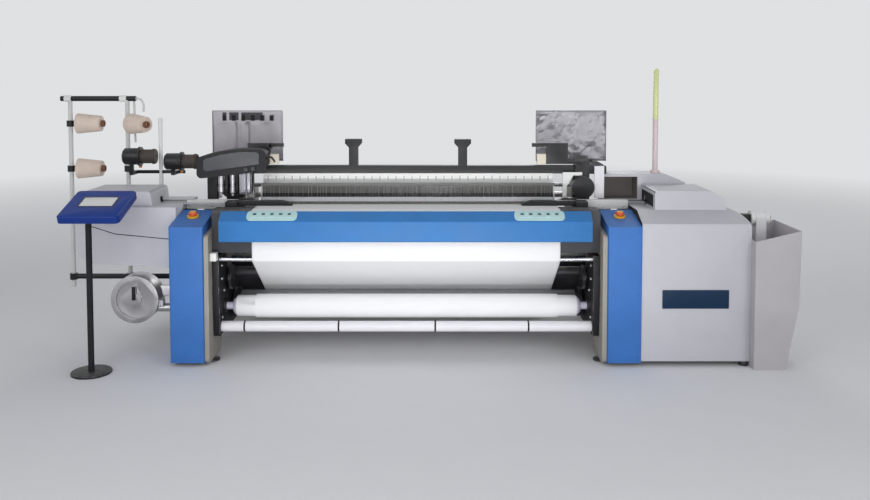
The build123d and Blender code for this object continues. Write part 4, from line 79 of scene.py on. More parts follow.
def at(x, y, z):
    """A place in the machine's own millimetres as a point of the frame."""
    return Vector((x * MM + SHIFT_X, y * MM + SHIFT_Y, z * MM))


def back(point):
    """A point of the frame in the machine's own millimetres."""
    return Vector(((point.x - SHIFT_X) / MM, (point.y - SHIFT_Y) / MM, point.z / MM))


# Mesh helpers, all in the machine's millimetres

def add_box(bm, x, y, z):
    """A box between pairs of limits."""
    verts = [bm.verts.new(at(px, py, pz)) for px in x for py in y for pz in z]
    for quad in ((0, 1, 3, 2), (4, 6, 7, 5), (0, 4, 5, 1), (2, 3, 7, 6), (0, 2, 6, 4), (1, 5, 7, 3)):
        bm.faces.new([verts[i] for i in quad])


def add_prism(bm, points, axis, low, high):
    """An outline drawn out along x, y or z. The outline's pairs are the other two axes in order."""
    def spot(a, b, along):
        return {"x": at(along, a, b), "y": at(a, along, b), "z": at(a, b, along)}[axis]
    first = [bm.verts.new(spot(a, b, low)) for a, b in points]
    last = [bm.verts.new(spot(a, b, high)) for a, b in points]
    bm.faces.new(first)
    bm.faces.new(last[::-1])
    for i in range(len(points)):
        j = (i + 1) % len(points)
        bm.faces.new((first[i], first[j], last[j], last[i]))


def cross_axes(axis):
    """Two directions square to an axis."""
    axis = axis.normalized()
    side = Vector((0, 0, 1)) if abs(axis.z) < 0.9 else Vector((1, 0, 0))
    first = axis.cross(side).normalized()
    return first, axis.cross(first)


def add_lathe(bm, profile, origin, axis, segments=40):
    """A turned shape: (radius, along) pairs from an origin along an axis."""
    axis = Vector(axis).normalized()
    u, v = cross_axes(axis)
    middle = at(*origin)
    rings = []
    for radius, along in profile:
        centre = middle + axis * along * MM
        if radius == 0:
            rings.append([bm.verts.new(centre)])
            continue
        turn = [2 * math.pi * i / segments for i in range(segments)]
        rings.append([bm.verts.new(centre + (u * math.cos(a) + v * math.sin(a)) * radius * MM) for a in turn])
    for one, two in zip(rings, rings[1:]):
        for i in range(segments):
            j = (i + 1) % segments
            corners = [one[i % len(one)], one[j % len(one)], two[j % len(two)], two[i % len(two)]]
            unique = list(dict.fromkeys(corners))
            if len(unique) > 2:
                bm.faces.new(unique)
    for ring in (rings[0], rings[-1]):
        if len(ring) > 1:
            bm.faces.new(ring)


def add_tube(bm, points, radius, sides=10):
    """A round bar along a line of points."""
    spots = [at(*p) for p in points]
    rings = []
    side = None
    for i, spot in enumerate(spots):
        ahead = spots[min(i + 1, len(spots) - 1)] - spots[max(i - 1, 0)]
        ahead.normalize()
        side = cross_axes(ahead)[0] if side is None else (side - ahead * side.dot(ahead)).normalized()
        other = ahead.cross(side)
        rings.append([bm.verts.new(spot + (side * math.cos(a) + other * math.sin(a)) * radius * MM)
                      for a in (2 * math.pi * k / sides for k in range(sides))])
    for one, two in zip(rings, rings[1:]):
        for i in range(sides):
            j = (i + 1) % sides
            bm.faces.new((one[i], one[j], two[j], two[i]))
    bm.faces.new(rings[0][::-1])
    bm.faces.new(rings[-1])


def curve_points(points, steps=8):
    """A smooth line through a few places."""
    out = []
    for i in range(len(points) - 1):
        p0, p1 = Vector(points[max(i - 1, 0)]), Vector(points[i])
        p2, p3 = Vector(points[i + 1]), Vector(points[min(i + 2, len(points) - 1)])
        for k in range(steps):
            t = k / steps
            out.append(tuple(0.5 * (2 * p1 + (p2 - p0) * t + (2 * p0 - 5 * p1 + 4 * p2 - p3) * t * t
                                    + (3 * p1 - p0 - 3 * p2 + p3) * t ** 3)))
    out.append(tuple(points[-1]))
    return out


def add_gear(bm, y, z, radius, x0, x1, teeth=36, depth=7, bore=16):
    """A spur gear on an axle along x."""
    outer, inner = [], []
    for i in range(teeth * 4):
        angle = 2 * math.pi * i / (teeth * 4)
        r = radius if i % 4 in (0, 1) else radius - depth
        outer.append((y + r * math.cos(angle), z + r * math.sin(angle)))
        inner.append((y + bore * math.cos(angle), z + bore * math.sin(angle)))
    sides = []
    for x in (x0, x1):
        sides.append(([bm.verts.new(at(x, *p)) for p in outer], [bm.verts.new(at(x, *p)) for p in inner]))
    count = len(outer)
    for i in range(count):
        j = (i + 1) % count
        (a, b), (c, d) = sides
        bm.faces.new((a[i], a[j], b[j], b[i]))
        bm.faces.new((c[j], c[i], d[i], d[j]))
        bm.faces.new((a[j], a[i], c[i], c[j]))
        bm.faces.new((b[i], b[j], d[j], d[i]))


def round_edges(bm, width, angle=30):
    """Rounds the sharp edges and marks the rounded strip for wear."""
    rim = bm.loops.layers.float.new("rim")
    if width <= 0:
        return
    limit = math.radians(angle)
    sharp = [e for e in bm.edges if len(e.link_faces) == 2 and e.calc_face_angle(0.0) > limit
             and e.calc_length() > 2.5 * width * MM]
    if not sharp:
        return
    made = bmesh.ops.bevel(bm, geom=sharp, offset=width * MM, offset_type="OFFSET", segments=2, profile=0.6,
                           affect="EDGES", clamp_overlap=True)
    for face in made["faces"]:
        for loop in face.loops:
            loop[rim] = 1.0


def even_shading(bm, angle):
    """Shades flat faces flat, and curved faces and rounded edges smooth."""
    rim = bm.loops.layers.float.get("rim")
    limit = math.radians(angle)
    strip = [bool(rim) and face.loops[0][rim] > 0.5 for face in bm.faces]
    bm.faces.index_update()
    for face in bm.faces:
        face.smooth = strip[face.index] or any(
            0.01 < edge.calc_face_angle(0.0) < limit for edge in face.edges
            if len(edge.link_faces) == 2 and not any(strip[other.index] for other in edge.link_faces))


def settle(name, bm, finishes, body, stands_for=(), angle=32):
    """A plain mesh object from a bmesh, on its body."""
    even_shading(bm, angle)
    mesh = bpy.data.meshes.new(name)
    bm.to_mesh(mesh)
    bm.free()
    for finish in finishes:
        mesh.materials.append(FINISH[finish])
    mesh.set_sharp_from_angle(angle=math.radians(angle))
    piece = bpy.data.objects.new(name, mesh)
    bpy.context.scene.collection.objects.link(piece)
    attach(piece, body)
    if stands_for:
        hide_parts(*stands_for)
    return piece


def make(name, bm, finish, body, width=0.0, stands_for=(), angle=32):
    """A new piece with its edges rounded."""
    bmesh.ops.recalc_face_normals(bm, faces=bm.faces)
    round_edges(bm, width)
    return settle(name, bm, [finish], body, stands_for, angle)


def dress(node, finish, width=1.5, zones=()):
    """A finished copy of a CAD node: merged, edges rounded, faces in zones painted apart."""
    source = frame["nodes"][node]
    bm = bmesh.new()
    bm.from_mesh(source.data)
    bm.transform(source.matrix_world)
    bmesh.ops.remove_doubles(bm, verts=bm.verts, dist=1e-5)
    bmesh.ops.dissolve_limit(bm, angle_limit=math.radians(0.6), verts=bm.verts, edges=bm.edges)
    round_edges(bm, width)
    for face in bm.faces:
        corners = [back(v.co) for v in face.verts]
        for index, (_, test) in enumerate(zones):
            if all(test(p, face.normal) for p in corners):
                face.material_index = index + 1
                break
    finishes = [finish] + [zone for zone, _ in zones]
    return settle(f"{node}_finish", bm, finishes, BODY_OF[node], (node,))


# Repeats

def repeat_tree():
    """One shape set at each point of a mesh, with a fixed random turn and size."""
    if "repeat" in TREES:
        return TREES["repeat"]
    tree = bpy.data.node_groups.new("Shape at places", "GeometryNodeTree")
    face = tree.interface
    face.new_socket("Places", in_out="INPUT", socket_type="NodeSocketGeometry")
    face.new_socket("Shape", in_out="INPUT", socket_type="NodeSocketObject")
    face.new_socket("Finish", in_out="INPUT", socket_type="NodeSocketMaterial")
    face.new_socket("Turn", in_out="INPUT", socket_type="NodeSocketVector")
    face.new_socket("Least Size", in_out="INPUT", socket_type="NodeSocketFloat")
    face.new_socket("Seed", in_out="INPUT", socket_type="NodeSocketInt")
    face.new_socket("Pieces", in_out="OUTPUT", socket_type="NodeSocketGeometry")
    nodes, links = tree.nodes, tree.links
    come, go = nodes.new("NodeGroupInput"), nodes.new("NodeGroupOutput")
    info = nodes.new("GeometryNodeObjectInfo")
    inst = nodes.new("GeometryNodeInstanceOnPoints")
    turn = nodes.new("FunctionNodeRandomValue")
    turn.data_type = "FLOAT_VECTOR"
    size = nodes.new("FunctionNodeRandomValue")
    size.data_type = "FLOAT"
    real = nodes.new("GeometryNodeRealizeInstances")
    paint = nodes.new("GeometryNodeSetMaterial")
    less = nodes.new("ShaderNodeVectorMath")
    less.operation = "SCALE"
    less.inputs["Scale"].default_value = -1.0
    links.new(come.outputs["Turn"], less.inputs[0])
    vector_in = [s for s in turn.inputs if s.type == "VECTOR"]
    links.new(less.outputs[0], vector_in[0])
    links.new(come.outputs["Turn"], vector_in[1])
    float_in = [s for s in size.inputs if s.type == "VALUE"]
    links.new(come.outputs["Least Size"], float_in[0])
    float_in[1].default_value = 1.0
    for node in (turn, size):
        links.new(come.outputs["Seed"], node.inputs["Seed"])
    links.new(come.outputs["Places"], inst.inputs["Points"])
    links.new(come.outputs["Shape"], info.inputs["Object"])
    links.new(info.outputs["Geometry"], inst.inputs["Instance"])
    links.new([s for s in turn.outputs if s.type == "VECTOR"][0], inst.inputs["Rotation"])
    links.new([s for s in size.outputs if s.type == "VALUE"][0], inst.inputs["Scale"])
    links.new(inst.outputs["Instances"], real.inputs["Geometry"])
    links.new(real.outputs["Geometry"], paint.inputs["Geometry"])
    links.new(come.outputs["Finish"], paint.inputs["Material"])
    links.new(paint.outputs["Geometry"], go.inputs["Pieces"])
    TREES["repeat"] = tree
    return tree


def repeat(name, shape, places, finish, body, turn=(0, 0, 0), least=1.0, seed=3, angle=32):
    """Sets a small shape, drawn about zero in metres, at many places."""
    tree = repeat_tree()
    bmesh.ops.recalc_face_normals(shape, faces=shape.faces)
    shape_mesh = bpy.data.meshes.new(f"{name}_shape")
    shape.to_mesh(shape_mesh)
    shape.free()
    shape_mesh.polygons.foreach_set("use_smooth", [True] * len(shape_mesh.polygons))
    shape_mesh.set_sharp_from_angle(angle=math.radians(angle))
    shape_object = bpy.data.objects.new(f"{name}_shape", shape_mesh)
    points = bpy.data.meshes.new(f"{name}_places")
    points.from_pydata([at(*p) for p in places], [], [])
    maker = bpy.data.objects.new(f"{name}_maker", points)
    for thing in (shape_object, maker):
        bpy.context.scene.collection.objects.link(thing)
    bpy.context.view_layer.update()
    modifier = maker.modifiers.new("Repeat", "NODES")
    modifier.node_group = tree
    key = {s.name: s.identifier for s in tree.interface.items_tree if s.in_out == "INPUT"}
    modifier[key["Shape"]] = shape_object
    modifier[key["Finish"]] = FINISH[finish]
    modifier[key["Turn"]] = turn
    modifier[key["Least Size"]] = least
    modifier[key["Seed"]] = seed
    bpy.context.view_layer.update()
    graph = bpy.context.evaluated_depsgraph_get()
    mesh = bpy.data.meshes.new_from_object(maker.evaluated_get(graph), depsgraph=graph)
    maker.modifiers.remove(modifier)
    bpy.data.objects.remove(maker)
    bpy.data.objects.remove(shape_object)
    if not mesh.polygons:
        raise RuntimeError(f"{name}: nothing was made")
    mesh.name = name
    piece = bpy.data.objects.new(name, mesh)
    bpy.context.scene.collection.objects.link(piece)
    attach(piece, body)
    return piece


def about_zero(draw):
    """A bmesh drawn by a helper in millimetres about zero, moved to the world's zero."""
    bm = bmesh.new()
    draw(bm)
    bmesh.ops.translate(bm, verts=bm.verts, vec=-at(0, 0, 0))
    return bm


def screw_shape(radius, axis, height=4.0):
    """A socket screw head that faces along an axis."""
    return about_zero(lambda bm: add_lathe(bm, [
        (radius, -1.0), (radius, height * 0.7), (radius * 0.86, height), (radius * 0.5, height),
        (radius * 0.46, height * 0.35), (0, height * 0.35)], (0, 0, 0), axis, 12))


# Shader groups

def group(name, takes, gives):
    """A new shader node group with named sockets, and its two end nodes."""
    tree = bpy.data.node_groups.new(name, "ShaderNodeTree")
    kinds = {"v": "NodeSocketVector", "f": "NodeSocketFloat", "c": "NodeSocketColor"}
    for label, kind in takes:
        tree.interface.new_socket(label, in_out="INPUT", socket_type=kinds[kind])
    for label, kind in gives:
        tree.interface.new_socket(label, in_out="OUTPUT", socket_type=kinds[kind])
    GROUPS[name] = tree
    return tree, tree.nodes.new("NodeGroupInput"), tree.nodes.new("NodeGroupOutput")


def math_node(tree, operation, first, second=None, clamp=False):
    """A Math node whose inputs are sockets or numbers."""
    node = tree.nodes.new("ShaderNodeMath")
    node.operation = operation
    node.use_clamp = clamp
    for socket, value in zip(node.inputs, (first, second)):
        if value is None:
            continue
        if isinstance(value, (int, float)):
            socket.default_value = value
        else:
            tree.links.new(value, socket)
    return node.outputs[0]


def noise(tree, vector, scale, detail=4.0, roughness=0.55):
    """A noise value on given coordinates."""
    node = tree.nodes.new("ShaderNodeTexNoise")
    node.inputs["Detail"].default_value = detail
    node.inputs["Roughness"].default_value = roughness
    tree.links.new(vector, node.inputs["Vector"])
    if isinstance(scale, (int, float)):
        node.inputs["Scale"].default_value = scale
    else:
        tree.links.new(scale, node.inputs["Scale"])
    return node.outputs[0]


def ramp(tree, value, low, high):
    """A value stretched from low..high to 0..1."""
    node = tree.nodes.new("ShaderNodeMapRange")
    node.inputs["From Min"].default_value = low
    node.inputs["From Max"].default_value = high
    tree.links.new(value, node.inputs["Value"])
    return node.outputs[0]


def stretched(tree, vector, scale):
    """Coordinates scaled unevenly."""
    node = tree.nodes.new("ShaderNodeMapping")
    node.inputs["Scale"].default_value = scale
    tree.links.new(vector, node.inputs["Vector"])
    return node.outputs[0]


def build_groups():
    """The effects that several finishes share."""
    tree, come, go = group("Surface grain", [("Vector", "v"), ("Fine Scale", "f")],
                           [("Shade", "f"), ("Height", "f")])
    coarse = noise(tree, come.outputs["Vector"], 4.5, 6.0, 0.6)
    fine = noise(tree, come.outputs["Vector"], come.outputs["Fine Scale"], 3.0)
    tree.links.new(ramp(tree, coarse, 0.3, 0.7), go.inputs["Shade"])
    tree.links.new(fine, go.inputs["Height"])

    tree, come, go = group("Edge wear", [("Vector", "v"), ("Rim", "f"), ("Amount", "f")], [("Mask", "f")])
    spots = ramp(tree, noise(tree, come.outputs["Vector"], 38.0, 5.0, 0.7), 0.45, 0.62)
    mask = math_node(tree, "MULTIPLY", spots, come.outputs["Rim"])
    tree.links.new(math_node(tree, "MULTIPLY", mask, come.outputs["Amount"], True), go.inputs["Mask"])

    tree, come, go = group("Lint", [("Vector", "v"), ("Normal", "v"), ("Amount", "f")], [("Mask", "f")])
    parts = tree.nodes.new("ShaderNodeSeparateXYZ")
    tree.links.new(come.outputs["Normal"], parts.inputs[0])
    up = ramp(tree, parts.outputs["Z"], 0.25, 0.95)
    patch = ramp(tree, noise(tree, come.outputs["Vector"], 16.0, 7.0, 0.68), 0.38, 0.72)
    mask = math_node(tree, "MULTIPLY", up, patch)
    tree.links.new(math_node(tree, "MULTIPLY", mask, come.outputs["Amount"], True), go.inputs["Mask"])

    tree, come, go = group("Turned marks", [("Vector", "v"), ("Scale", "f")], [("Shade", "f"), ("Height", "f")])
    lines = noise(tree, stretched(tree, come.outputs["Vector"], (1.0, 0.04, 0.04)), come.outputs["Scale"], 3.0)
    stain = noise(tree, come.outputs["Vector"], 9.0, 5.0, 0.65)
    both = math_node(tree, "ADD", math_node(tree, "MULTIPLY", lines, 0.6), math_node(tree, "MULTIPLY", stain, 0.4))
    tree.links.new(ramp(tree, both, 0.32, 0.68), go.inputs["Shade"])
    tree.links.new(lines, go.inputs["Height"])

    tree, come, go = group("Plain weave", [("Vector", "v"), ("Threads", "f")], [("Shade", "f"), ("Height", "f")])
    parts = tree.nodes.new("ShaderNodeSeparateXYZ")
    tree.links.new(come.outputs["Vector"], parts.inputs[0])
    warp = math_node(tree, "SINE", math_node(tree, "MULTIPLY", parts.outputs["X"], come.outputs["Threads"]))
    weft = math_node(tree, "SINE", math_node(tree, "MULTIPLY", parts.outputs["Y"], come.outputs["Threads"]))
    cross = math_node(tree, "MULTIPLY", warp, weft)
    slub = noise(tree, stretched(tree, come.outputs["Vector"], (2.0, 60.0, 1.0)), 3.0, 4.0, 0.6)
    tree.links.new(ramp(tree, slub, 0.3, 0.7), go.inputs["Shade"])
    tree.links.new(ramp(tree, cross, -1.0, 1.0), go.inputs["Height"])

    tree, come, go = group("Wound yarn", [("Vector", "v"), ("Turns", "f"), ("Slant", "f")],
                           [("Shade", "f"), ("Height", "f")])
    parts = tree.nodes.new("ShaderNodeSeparateXYZ")
    tree.links.new(come.outputs["Vector"], parts.inputs[0])
    lean = math_node(tree, "MULTIPLY", parts.outputs["Z"], come.outputs["Slant"])
    runs = []
    for way in ("ADD", "SUBTRACT"):
        along = math_node(tree, way, parts.outputs["X"], lean)
        runs.append(math_node(tree, "SINE", math_node(tree, "MULTIPLY", along, come.outputs["Turns"])))
    top = math_node(tree, "MAXIMUM", runs[0], runs[1])
    tree.links.new(ramp(tree, noise(tree, come.outputs["Vector"], 24.0, 5.0), 0.3, 0.7), go.inputs["Shade"])
    tree.links.new(ramp(tree, top, -1.0, 1.0), go.inputs["Height"])


def mixed(tree, factor, first, second):
    """A colour mixed between two colours or sockets."""
    node = tree.nodes.new("ShaderNodeMix")
    node.data_type = "RGBA"
    tree.links.new(factor, node.inputs[0])
    for socket, value in ((node.inputs[6], first), (node.inputs[7], second)):
        if isinstance(value, tuple):
            socket.default_value = (*value, 1.0)
        else:
            tree.links.new(value, socket)
    return node.outputs[2]


def use(tree, name, links, values):
    """A shader group placed in a material."""
    node = tree.nodes.new("ShaderNodeGroup")
    node.node_tree = GROUPS[name]
    for label, socket in links.items():
        tree.links.new(socket, node.inputs[label])
    for label, value in values.items():
        node.inputs[label].default_value = value
    return node


def shaded(colour, amount):
    """A colour made lighter or darker."""
    return tuple(min(1.0, part * amount) for part in colour)


def finish(name, colour, rough=0.45, metal=0.0, effect="Surface grain", scale=260.0, slant=0.0, bump=0.12,
           depth=0.0006, mottle=0.08, wear=0.0, bare=(0.42, 0.42, 0.43), lint=0.0, coat=0.0, sheen=0.0,
           glow=0.0, uv=False, painted_light_bands=(), spec=0.5):
    """One finish: an effect for colour, roughness and bump, then edge wear and lint over it."""
    material = bpy.data.materials.new(name)
    material.use_nodes = True
    tree = material.node_tree
    shader = tree.nodes["Principled BSDF"]
    place = tree.nodes.new("ShaderNodeTexCoord")
    vector = place.outputs["UV"] if uv else place.outputs["Object"]
    values = {"Surface grain": {"Fine Scale": scale}, "Turned marks": {"Scale": scale},
              "Plain weave": {"Threads": scale}, "Wound yarn": {"Turns": scale, "Slant": slant}}[effect]
    look = use(tree, effect, {"Vector": vector}, values)
    paint = mixed(tree, look.outputs["Shade"], shaded(colour, 1 - mottle), shaded(colour, 1 + mottle))
    # Painted shade: the low parts of the weave and of the winding are darkened towards 0.8 of the colour, as shade in
    # the hollows
    if effect in ("Plain weave", "Wound yarn"):
        paint = mixed(tree, ramp(tree, look.outputs["Height"], 0.0, 0.55), shaded(colour, 0.8), paint)
    # Bands of one colour across a height range: painted light, here the reed's band of painted shade and band of
    # painted highlight
    for low, high, tone in painted_light_bands:
        height = tree.nodes.new("ShaderNodeSeparateXYZ")
        tree.links.new(place.outputs["Object"], height.inputs[0])
        above = ramp(tree, height.outputs["Z"], low, low + 0.004)
        below = ramp(tree, height.outputs["Z"], high, high - 0.004)
        paint = mixed(tree, math_node(tree, "MULTIPLY", above, below), paint, tone)
    if wear:
        rim = tree.nodes.new("ShaderNodeAttribute")
        rim.attribute_name = "rim"
        mask = use(tree, "Edge wear", {"Vector": vector, "Rim": rim.outputs["Fac"]}, {"Amount": wear})
        paint = mixed(tree, mask.outputs["Mask"], paint, bare)
    if lint:
        shape = tree.nodes.new("ShaderNodeNewGeometry")
        mask = use(tree, "Lint", {"Vector": vector, "Normal": shape.outputs["Normal"]}, {"Amount": lint})
        paint = mixed(tree, mask.outputs["Mask"], paint, srgb(214, 211, 205))
    tree.links.new(paint, shader.inputs["Base Color"])
    gloss = tree.nodes.new("ShaderNodeMapRange")
    gloss.inputs["To Min"].default_value = max(0.05, rough - 0.07)
    gloss.inputs["To Max"].default_value = min(1.0, rough + 0.07)
    tree.links.new(look.outputs["Shade"], gloss.inputs["Value"])
    tree.links.new(gloss.outputs[0], shader.inputs["Roughness"])
    bumps = tree.nodes.new("ShaderNodeBump")
    bumps.inputs["Strength"].default_value = bump
    bumps.inputs["Distance"].default_value = depth
    tree.links.new(look.outputs["Height"], bumps.inputs["Height"])
    tree.links.new(bumps.outputs["Normal"], shader.inputs["Normal"])
    shader.inputs["Metallic"].default_value = metal
    shader.inputs["Specular IOR Level"].default_value = spec
    shader.inputs["Coat Weight"].default_value = coat
    shader.inputs["Sheen Weight"].default_value = sheen
    if glow:
        tree.links.new(paint, shader.inputs["Emission Color"])
        shader.inputs["Emission Strength"].default_value = glow
    FINISH[name] = material
    return material


def floor_finish():
    """A pale floor that fades into the backdrop far from the loom."""
    material = finish("floor", srgb(238, 238, 240), 0.8, scale=40, bump=0.02, mottle=0.01)
    tree = material.node_tree
    shader = tree.nodes["Principled BSDF"]
    place = tree.nodes.new("ShaderNodeTexCoord")
    length = tree.nodes.new("ShaderNodeVectorMath")
    length.operation = "LENGTH"
    tree.links.new(place.outputs["Object"], length.inputs[0])
    far = ramp(tree, length.outputs["Value"], 3.5, 11.0)
    glow = tree.nodes.new("ShaderNodeEmission")
    glow.inputs["Color"].default_value = BACKDROP
    mix = tree.nodes.new("ShaderNodeMixShader")
    tree.links.new(far, mix.inputs[0])
    tree.links.new(shader.outputs[0], mix.inputs[1])
    tree.links.new(glow.outputs[0], mix.inputs[2])
    tree.links.new(mix.outputs[0], tree.nodes["Material Output"].inputs["Surface"])


def colour_property(name, text, red, green, blue):
    """A colour that a user would change."""
    return bpy.props.FloatVectorProperty(name=name, description=text, subtype="COLOR", size=3, min=0.0, max=1.0,
                                         default=srgb(red, green, blue))


class LoomColours(bpy.types.PropertyGroup):
    """Colours of the loom's finishes."""
    cover_blue: colour_property("Cover blue", "Powder coat of the column covers", 60, 116, 190)
    beam_blue: colour_property("Beam blue", "Powder coat of the breast beam cover", 46, 114, 178)
    terminal_blue: colour_property("Terminal blue", "Moulded case of the terminal", 20, 54, 134)
    cabinet_grey: colour_property("Cabinet grey", "Paint of the cabinet and housings", 200, 200, 206)
    frame_beige: colour_property("Frame beige", "Paint of the cast frames", 158, 153, 144)
    bin_grey: colour_property("Bin grey", "Painted sheet of the waste bin", 190, 186, 190)
    cloth_white: colour_property("Cloth white", "The woven cloth", 240, 240, 241)
    keypad_mint: colour_property("Keypad mint", "Membrane of the keypads", 178, 210, 210)
    plate_teal: colour_property("Plate teal", "The bare plate on the cabinet", 6, 44, 74)


class LoomSizes(bpy.types.PropertyGroup):
    """Sizes and counts of the loom's fine pieces."""
    warp_threads: bpy.props.IntProperty(name="Warp threads", description="Threads drawn across the warp",
                                        default=360, min=10)
    healds: bpy.props.IntProperty(name="Healds", description="Healds on each heald frame", default=120, min=4)
    dents: bpy.props.IntProperty(name="Reed dents", description="Wires drawn in the reed", default=560, min=10)
    screw_radius: bpy.props.FloatProperty(name="Screw radius", description="Head of a cover screw, in mm",
                                          default=5.5, min=1.0)
    ripple: bpy.props.FloatProperty(name="Cloth ripple", description="Depth of the cloth's ripples", default=0.0012,
                                    min=0.0, subtype="DISTANCE", unit="LENGTH")


class LOOM_OT_finishes(bpy.types.Operator):
    """Builds the shader groups and the finishes"""
    bl_idname = "loom.finishes"
    bl_label = "Finishes"

    def execute(self, context):
        hue = context.scene.loom_colours
        build_groups()
        finish("cover_blue", tuple(hue.cover_blue), 0.46, bump=0.1, scale=420, wear=0.5, lint=0.03, spec=0.3)
        finish("beam_blue", tuple(hue.beam_blue), 0.46, bump=0.1, scale=420, wear=0.45, lint=0.03, spec=0.3)
        finish("terminal_blue", tuple(hue.terminal_blue), 0.45, bump=0.2, scale=700, wear=0.2, spec=0.25)
        finish("cabinet_grey", tuple(hue.cabinet_grey), 0.5, bump=0.12, scale=380, mottle=0.03, wear=0.4, lint=0.06)
        finish("frame_beige", tuple(hue.frame_beige), 0.6, bump=0.45, scale=120, depth=0.0012, mottle=0.1, wear=0.7,
               lint=0.35)
        finish("beam_dark", srgb(52, 53, 58), 0.5, bump=0.2, scale=200, wear=0.5, lint=0.25)
        finish("bin_grey", tuple(hue.bin_grey), 0.5, bump=0.1, scale=320, mottle=0.05, wear=0.6, lint=0.15)
        finish("dark_steel", srgb(72, 72, 76), 0.4, 0.75, scale=180, bump=0.2, wear=0.6, lint=0.3)
        finish("bright_steel", srgb(205, 205, 210), 0.26, 1.0, "Turned marks", 420, bump=0.06, lint=0.12)
        # dent_steel: a dark band of painted shade and a pale blue-white band of painted highlight across the dents'
        # height
        finish("dent_steel", srgb(98, 97, 95), 0.42, 0.3, "Turned marks", 300, bump=0.06, spec=0.3,
               painted_light_bands=((0.929, 0.956, srgb(30, 29, 29)), (0.899, 0.93, srgb(222, 224, 230))))
        finish("rail_grey", srgb(150, 150, 156), 0.34, 0.85, "Turned marks", 260, bump=0.08, wear=0.3)
        finish("heald_steel", srgb(232, 232, 234), 0.34, 0.35, "Turned marks", 300, bump=0.05)
        finish("aluminium", srgb(188, 186, 189), 0.36, 0.9, "Turned marks", 300, bump=0.1, wear=0.2, lint=0.15)
        finish("bracket_black", srgb(30, 30, 33), 0.5, bump=0.3, scale=220, mottle=0.18, wear=0.6, lint=0.14, spec=0.3)
        finish("rapier_black", srgb(27, 27, 30), 0.36, bump=0.12, scale=300, mottle=0.15, wear=0.5, lint=0.06, spec=0.35)
        finish("roller_grip", srgb(186, 186, 190), 0.42, 0.8, "Turned marks", 260, bump=0.2)
        finish("cloth", tuple(hue.cloth_white), 0.85, effect="Plain weave", scale=3600.0, bump=0.35, depth=0.0004,
               mottle=0.025, sheen=0.25, uv=True)
        finish("roll_cloth", tuple(hue.cloth_white), 0.85, scale=900, bump=0.12, depth=0.0004, mottle=0.02, sheen=0.2)
        finish("roll_core", srgb(205, 201, 218), 0.5, scale=240, bump=0.15, wear=0.3)
        finish("warp_yarn", srgb(228, 224, 214), 0.8, effect="Wound yarn", scale=1600.0, bump=0.3, depth=0.0008)
        finish("cone_yarn", srgb(234, 215, 200), 0.85, effect="Wound yarn", scale=900.0, slant=0.55, bump=0.55,
               depth=0.0012, sheen=0.2)
        finish("brown_card", srgb(126, 86, 58), 0.8, scale=160, bump=0.2, mottle=0.15)
        finish("pale_paint", srgb(216, 216, 214), 0.45, scale=320, bump=0.1, mottle=0.04, wear=0.5, lint=0.15)
        finish("guard_sheet", srgb(158, 156, 162), 0.42, 0.65, scale=60, bump=0.2, depth=0.002, mottle=0.06)
        finish("guard_dull", srgb(164, 161, 166), 0.46, 0.55, scale=60, bump=0.25, depth=0.002, mottle=0.16)
        finish("guard_shadow", srgb(62, 60, 64), 0.6, 0.2, scale=60, bump=0.2, depth=0.002, mottle=0.2)
        # Painted shade for the hoods' recess
        finish("recess_painted_shade", srgb(116, 111, 107), 0.6, scale=240, bump=0.2, mottle=0.1, lint=0.1)
        finish("tube_white", srgb(236, 234, 239), 0.4, scale=320, bump=0.08, mottle=0.03, lint=0.05)
        finish("panel_grey", srgb(78, 78, 83), 0.44, scale=260, bump=0.15, mottle=0.1, wear=0.4, lint=0.1)
        finish("drum_dark", srgb(66, 58, 52), 0.6, effect="Wound yarn", scale=1400.0, bump=0.4, depth=0.0008,
               mottle=0.2)
        finish("mint", tuple(hue.keypad_mint), 0.45, scale=520, bump=0.1, mottle=0.03, wear=0.15)
        finish("key_dark", srgb(52, 66, 78), 0.42, scale=520, bump=0.1, mottle=0.08, wear=0.3)
        finish("stop_red", srgb(222, 92, 34), 0.3, scale=420, bump=0.05, mottle=0.05, coat=0.4, lint=0.08)
        # Real yellow of the collars, also painted as a highlight on the stop buttons' tops
        finish("yellow_and_painted_highlight", srgb(238, 176, 42), 0.38, scale=420, bump=0.08, wear=0.2, lint=0.1)
        finish("feeder_orange", srgb(206, 118, 40), 0.4, scale=420, bump=0.08, wear=0.2)
        finish("cream", srgb(226, 218, 200), 0.5, scale=300, bump=0.12, mottle=0.05, wear=0.25, lint=0.1)
        finish("white_plastic", srgb(234, 234, 232), 0.42, scale=420, bump=0.08, mottle=0.03)
        finish("plate_teal", tuple(hue.plate_teal), 0.4, scale=420, bump=0.05, mottle=0.12, wear=0.3, spec=0.25)
        finish("screen", srgb(206, 207, 206), 0.18, scale=60, bump=0.01, mottle=0.03, coat=0.5, glow=0.12)
        finish("lamp_green", srgb(218, 222, 158), 0.25, scale=120, bump=0.1, mottle=0.06, coat=0.4, glow=0.04)
        finish("lamp_pink", srgb(226, 208, 208), 0.3, scale=120, bump=0.1, mottle=0.05, coat=0.3)
        # Real dark joints and seams, and also painted shade standing in for slots and openings
        finish("joint_dark_and_painted_shade", srgb(20, 20, 22), 0.8, scale=200, bump=0.1)
        floor_finish()
        return {"FINISHED"}


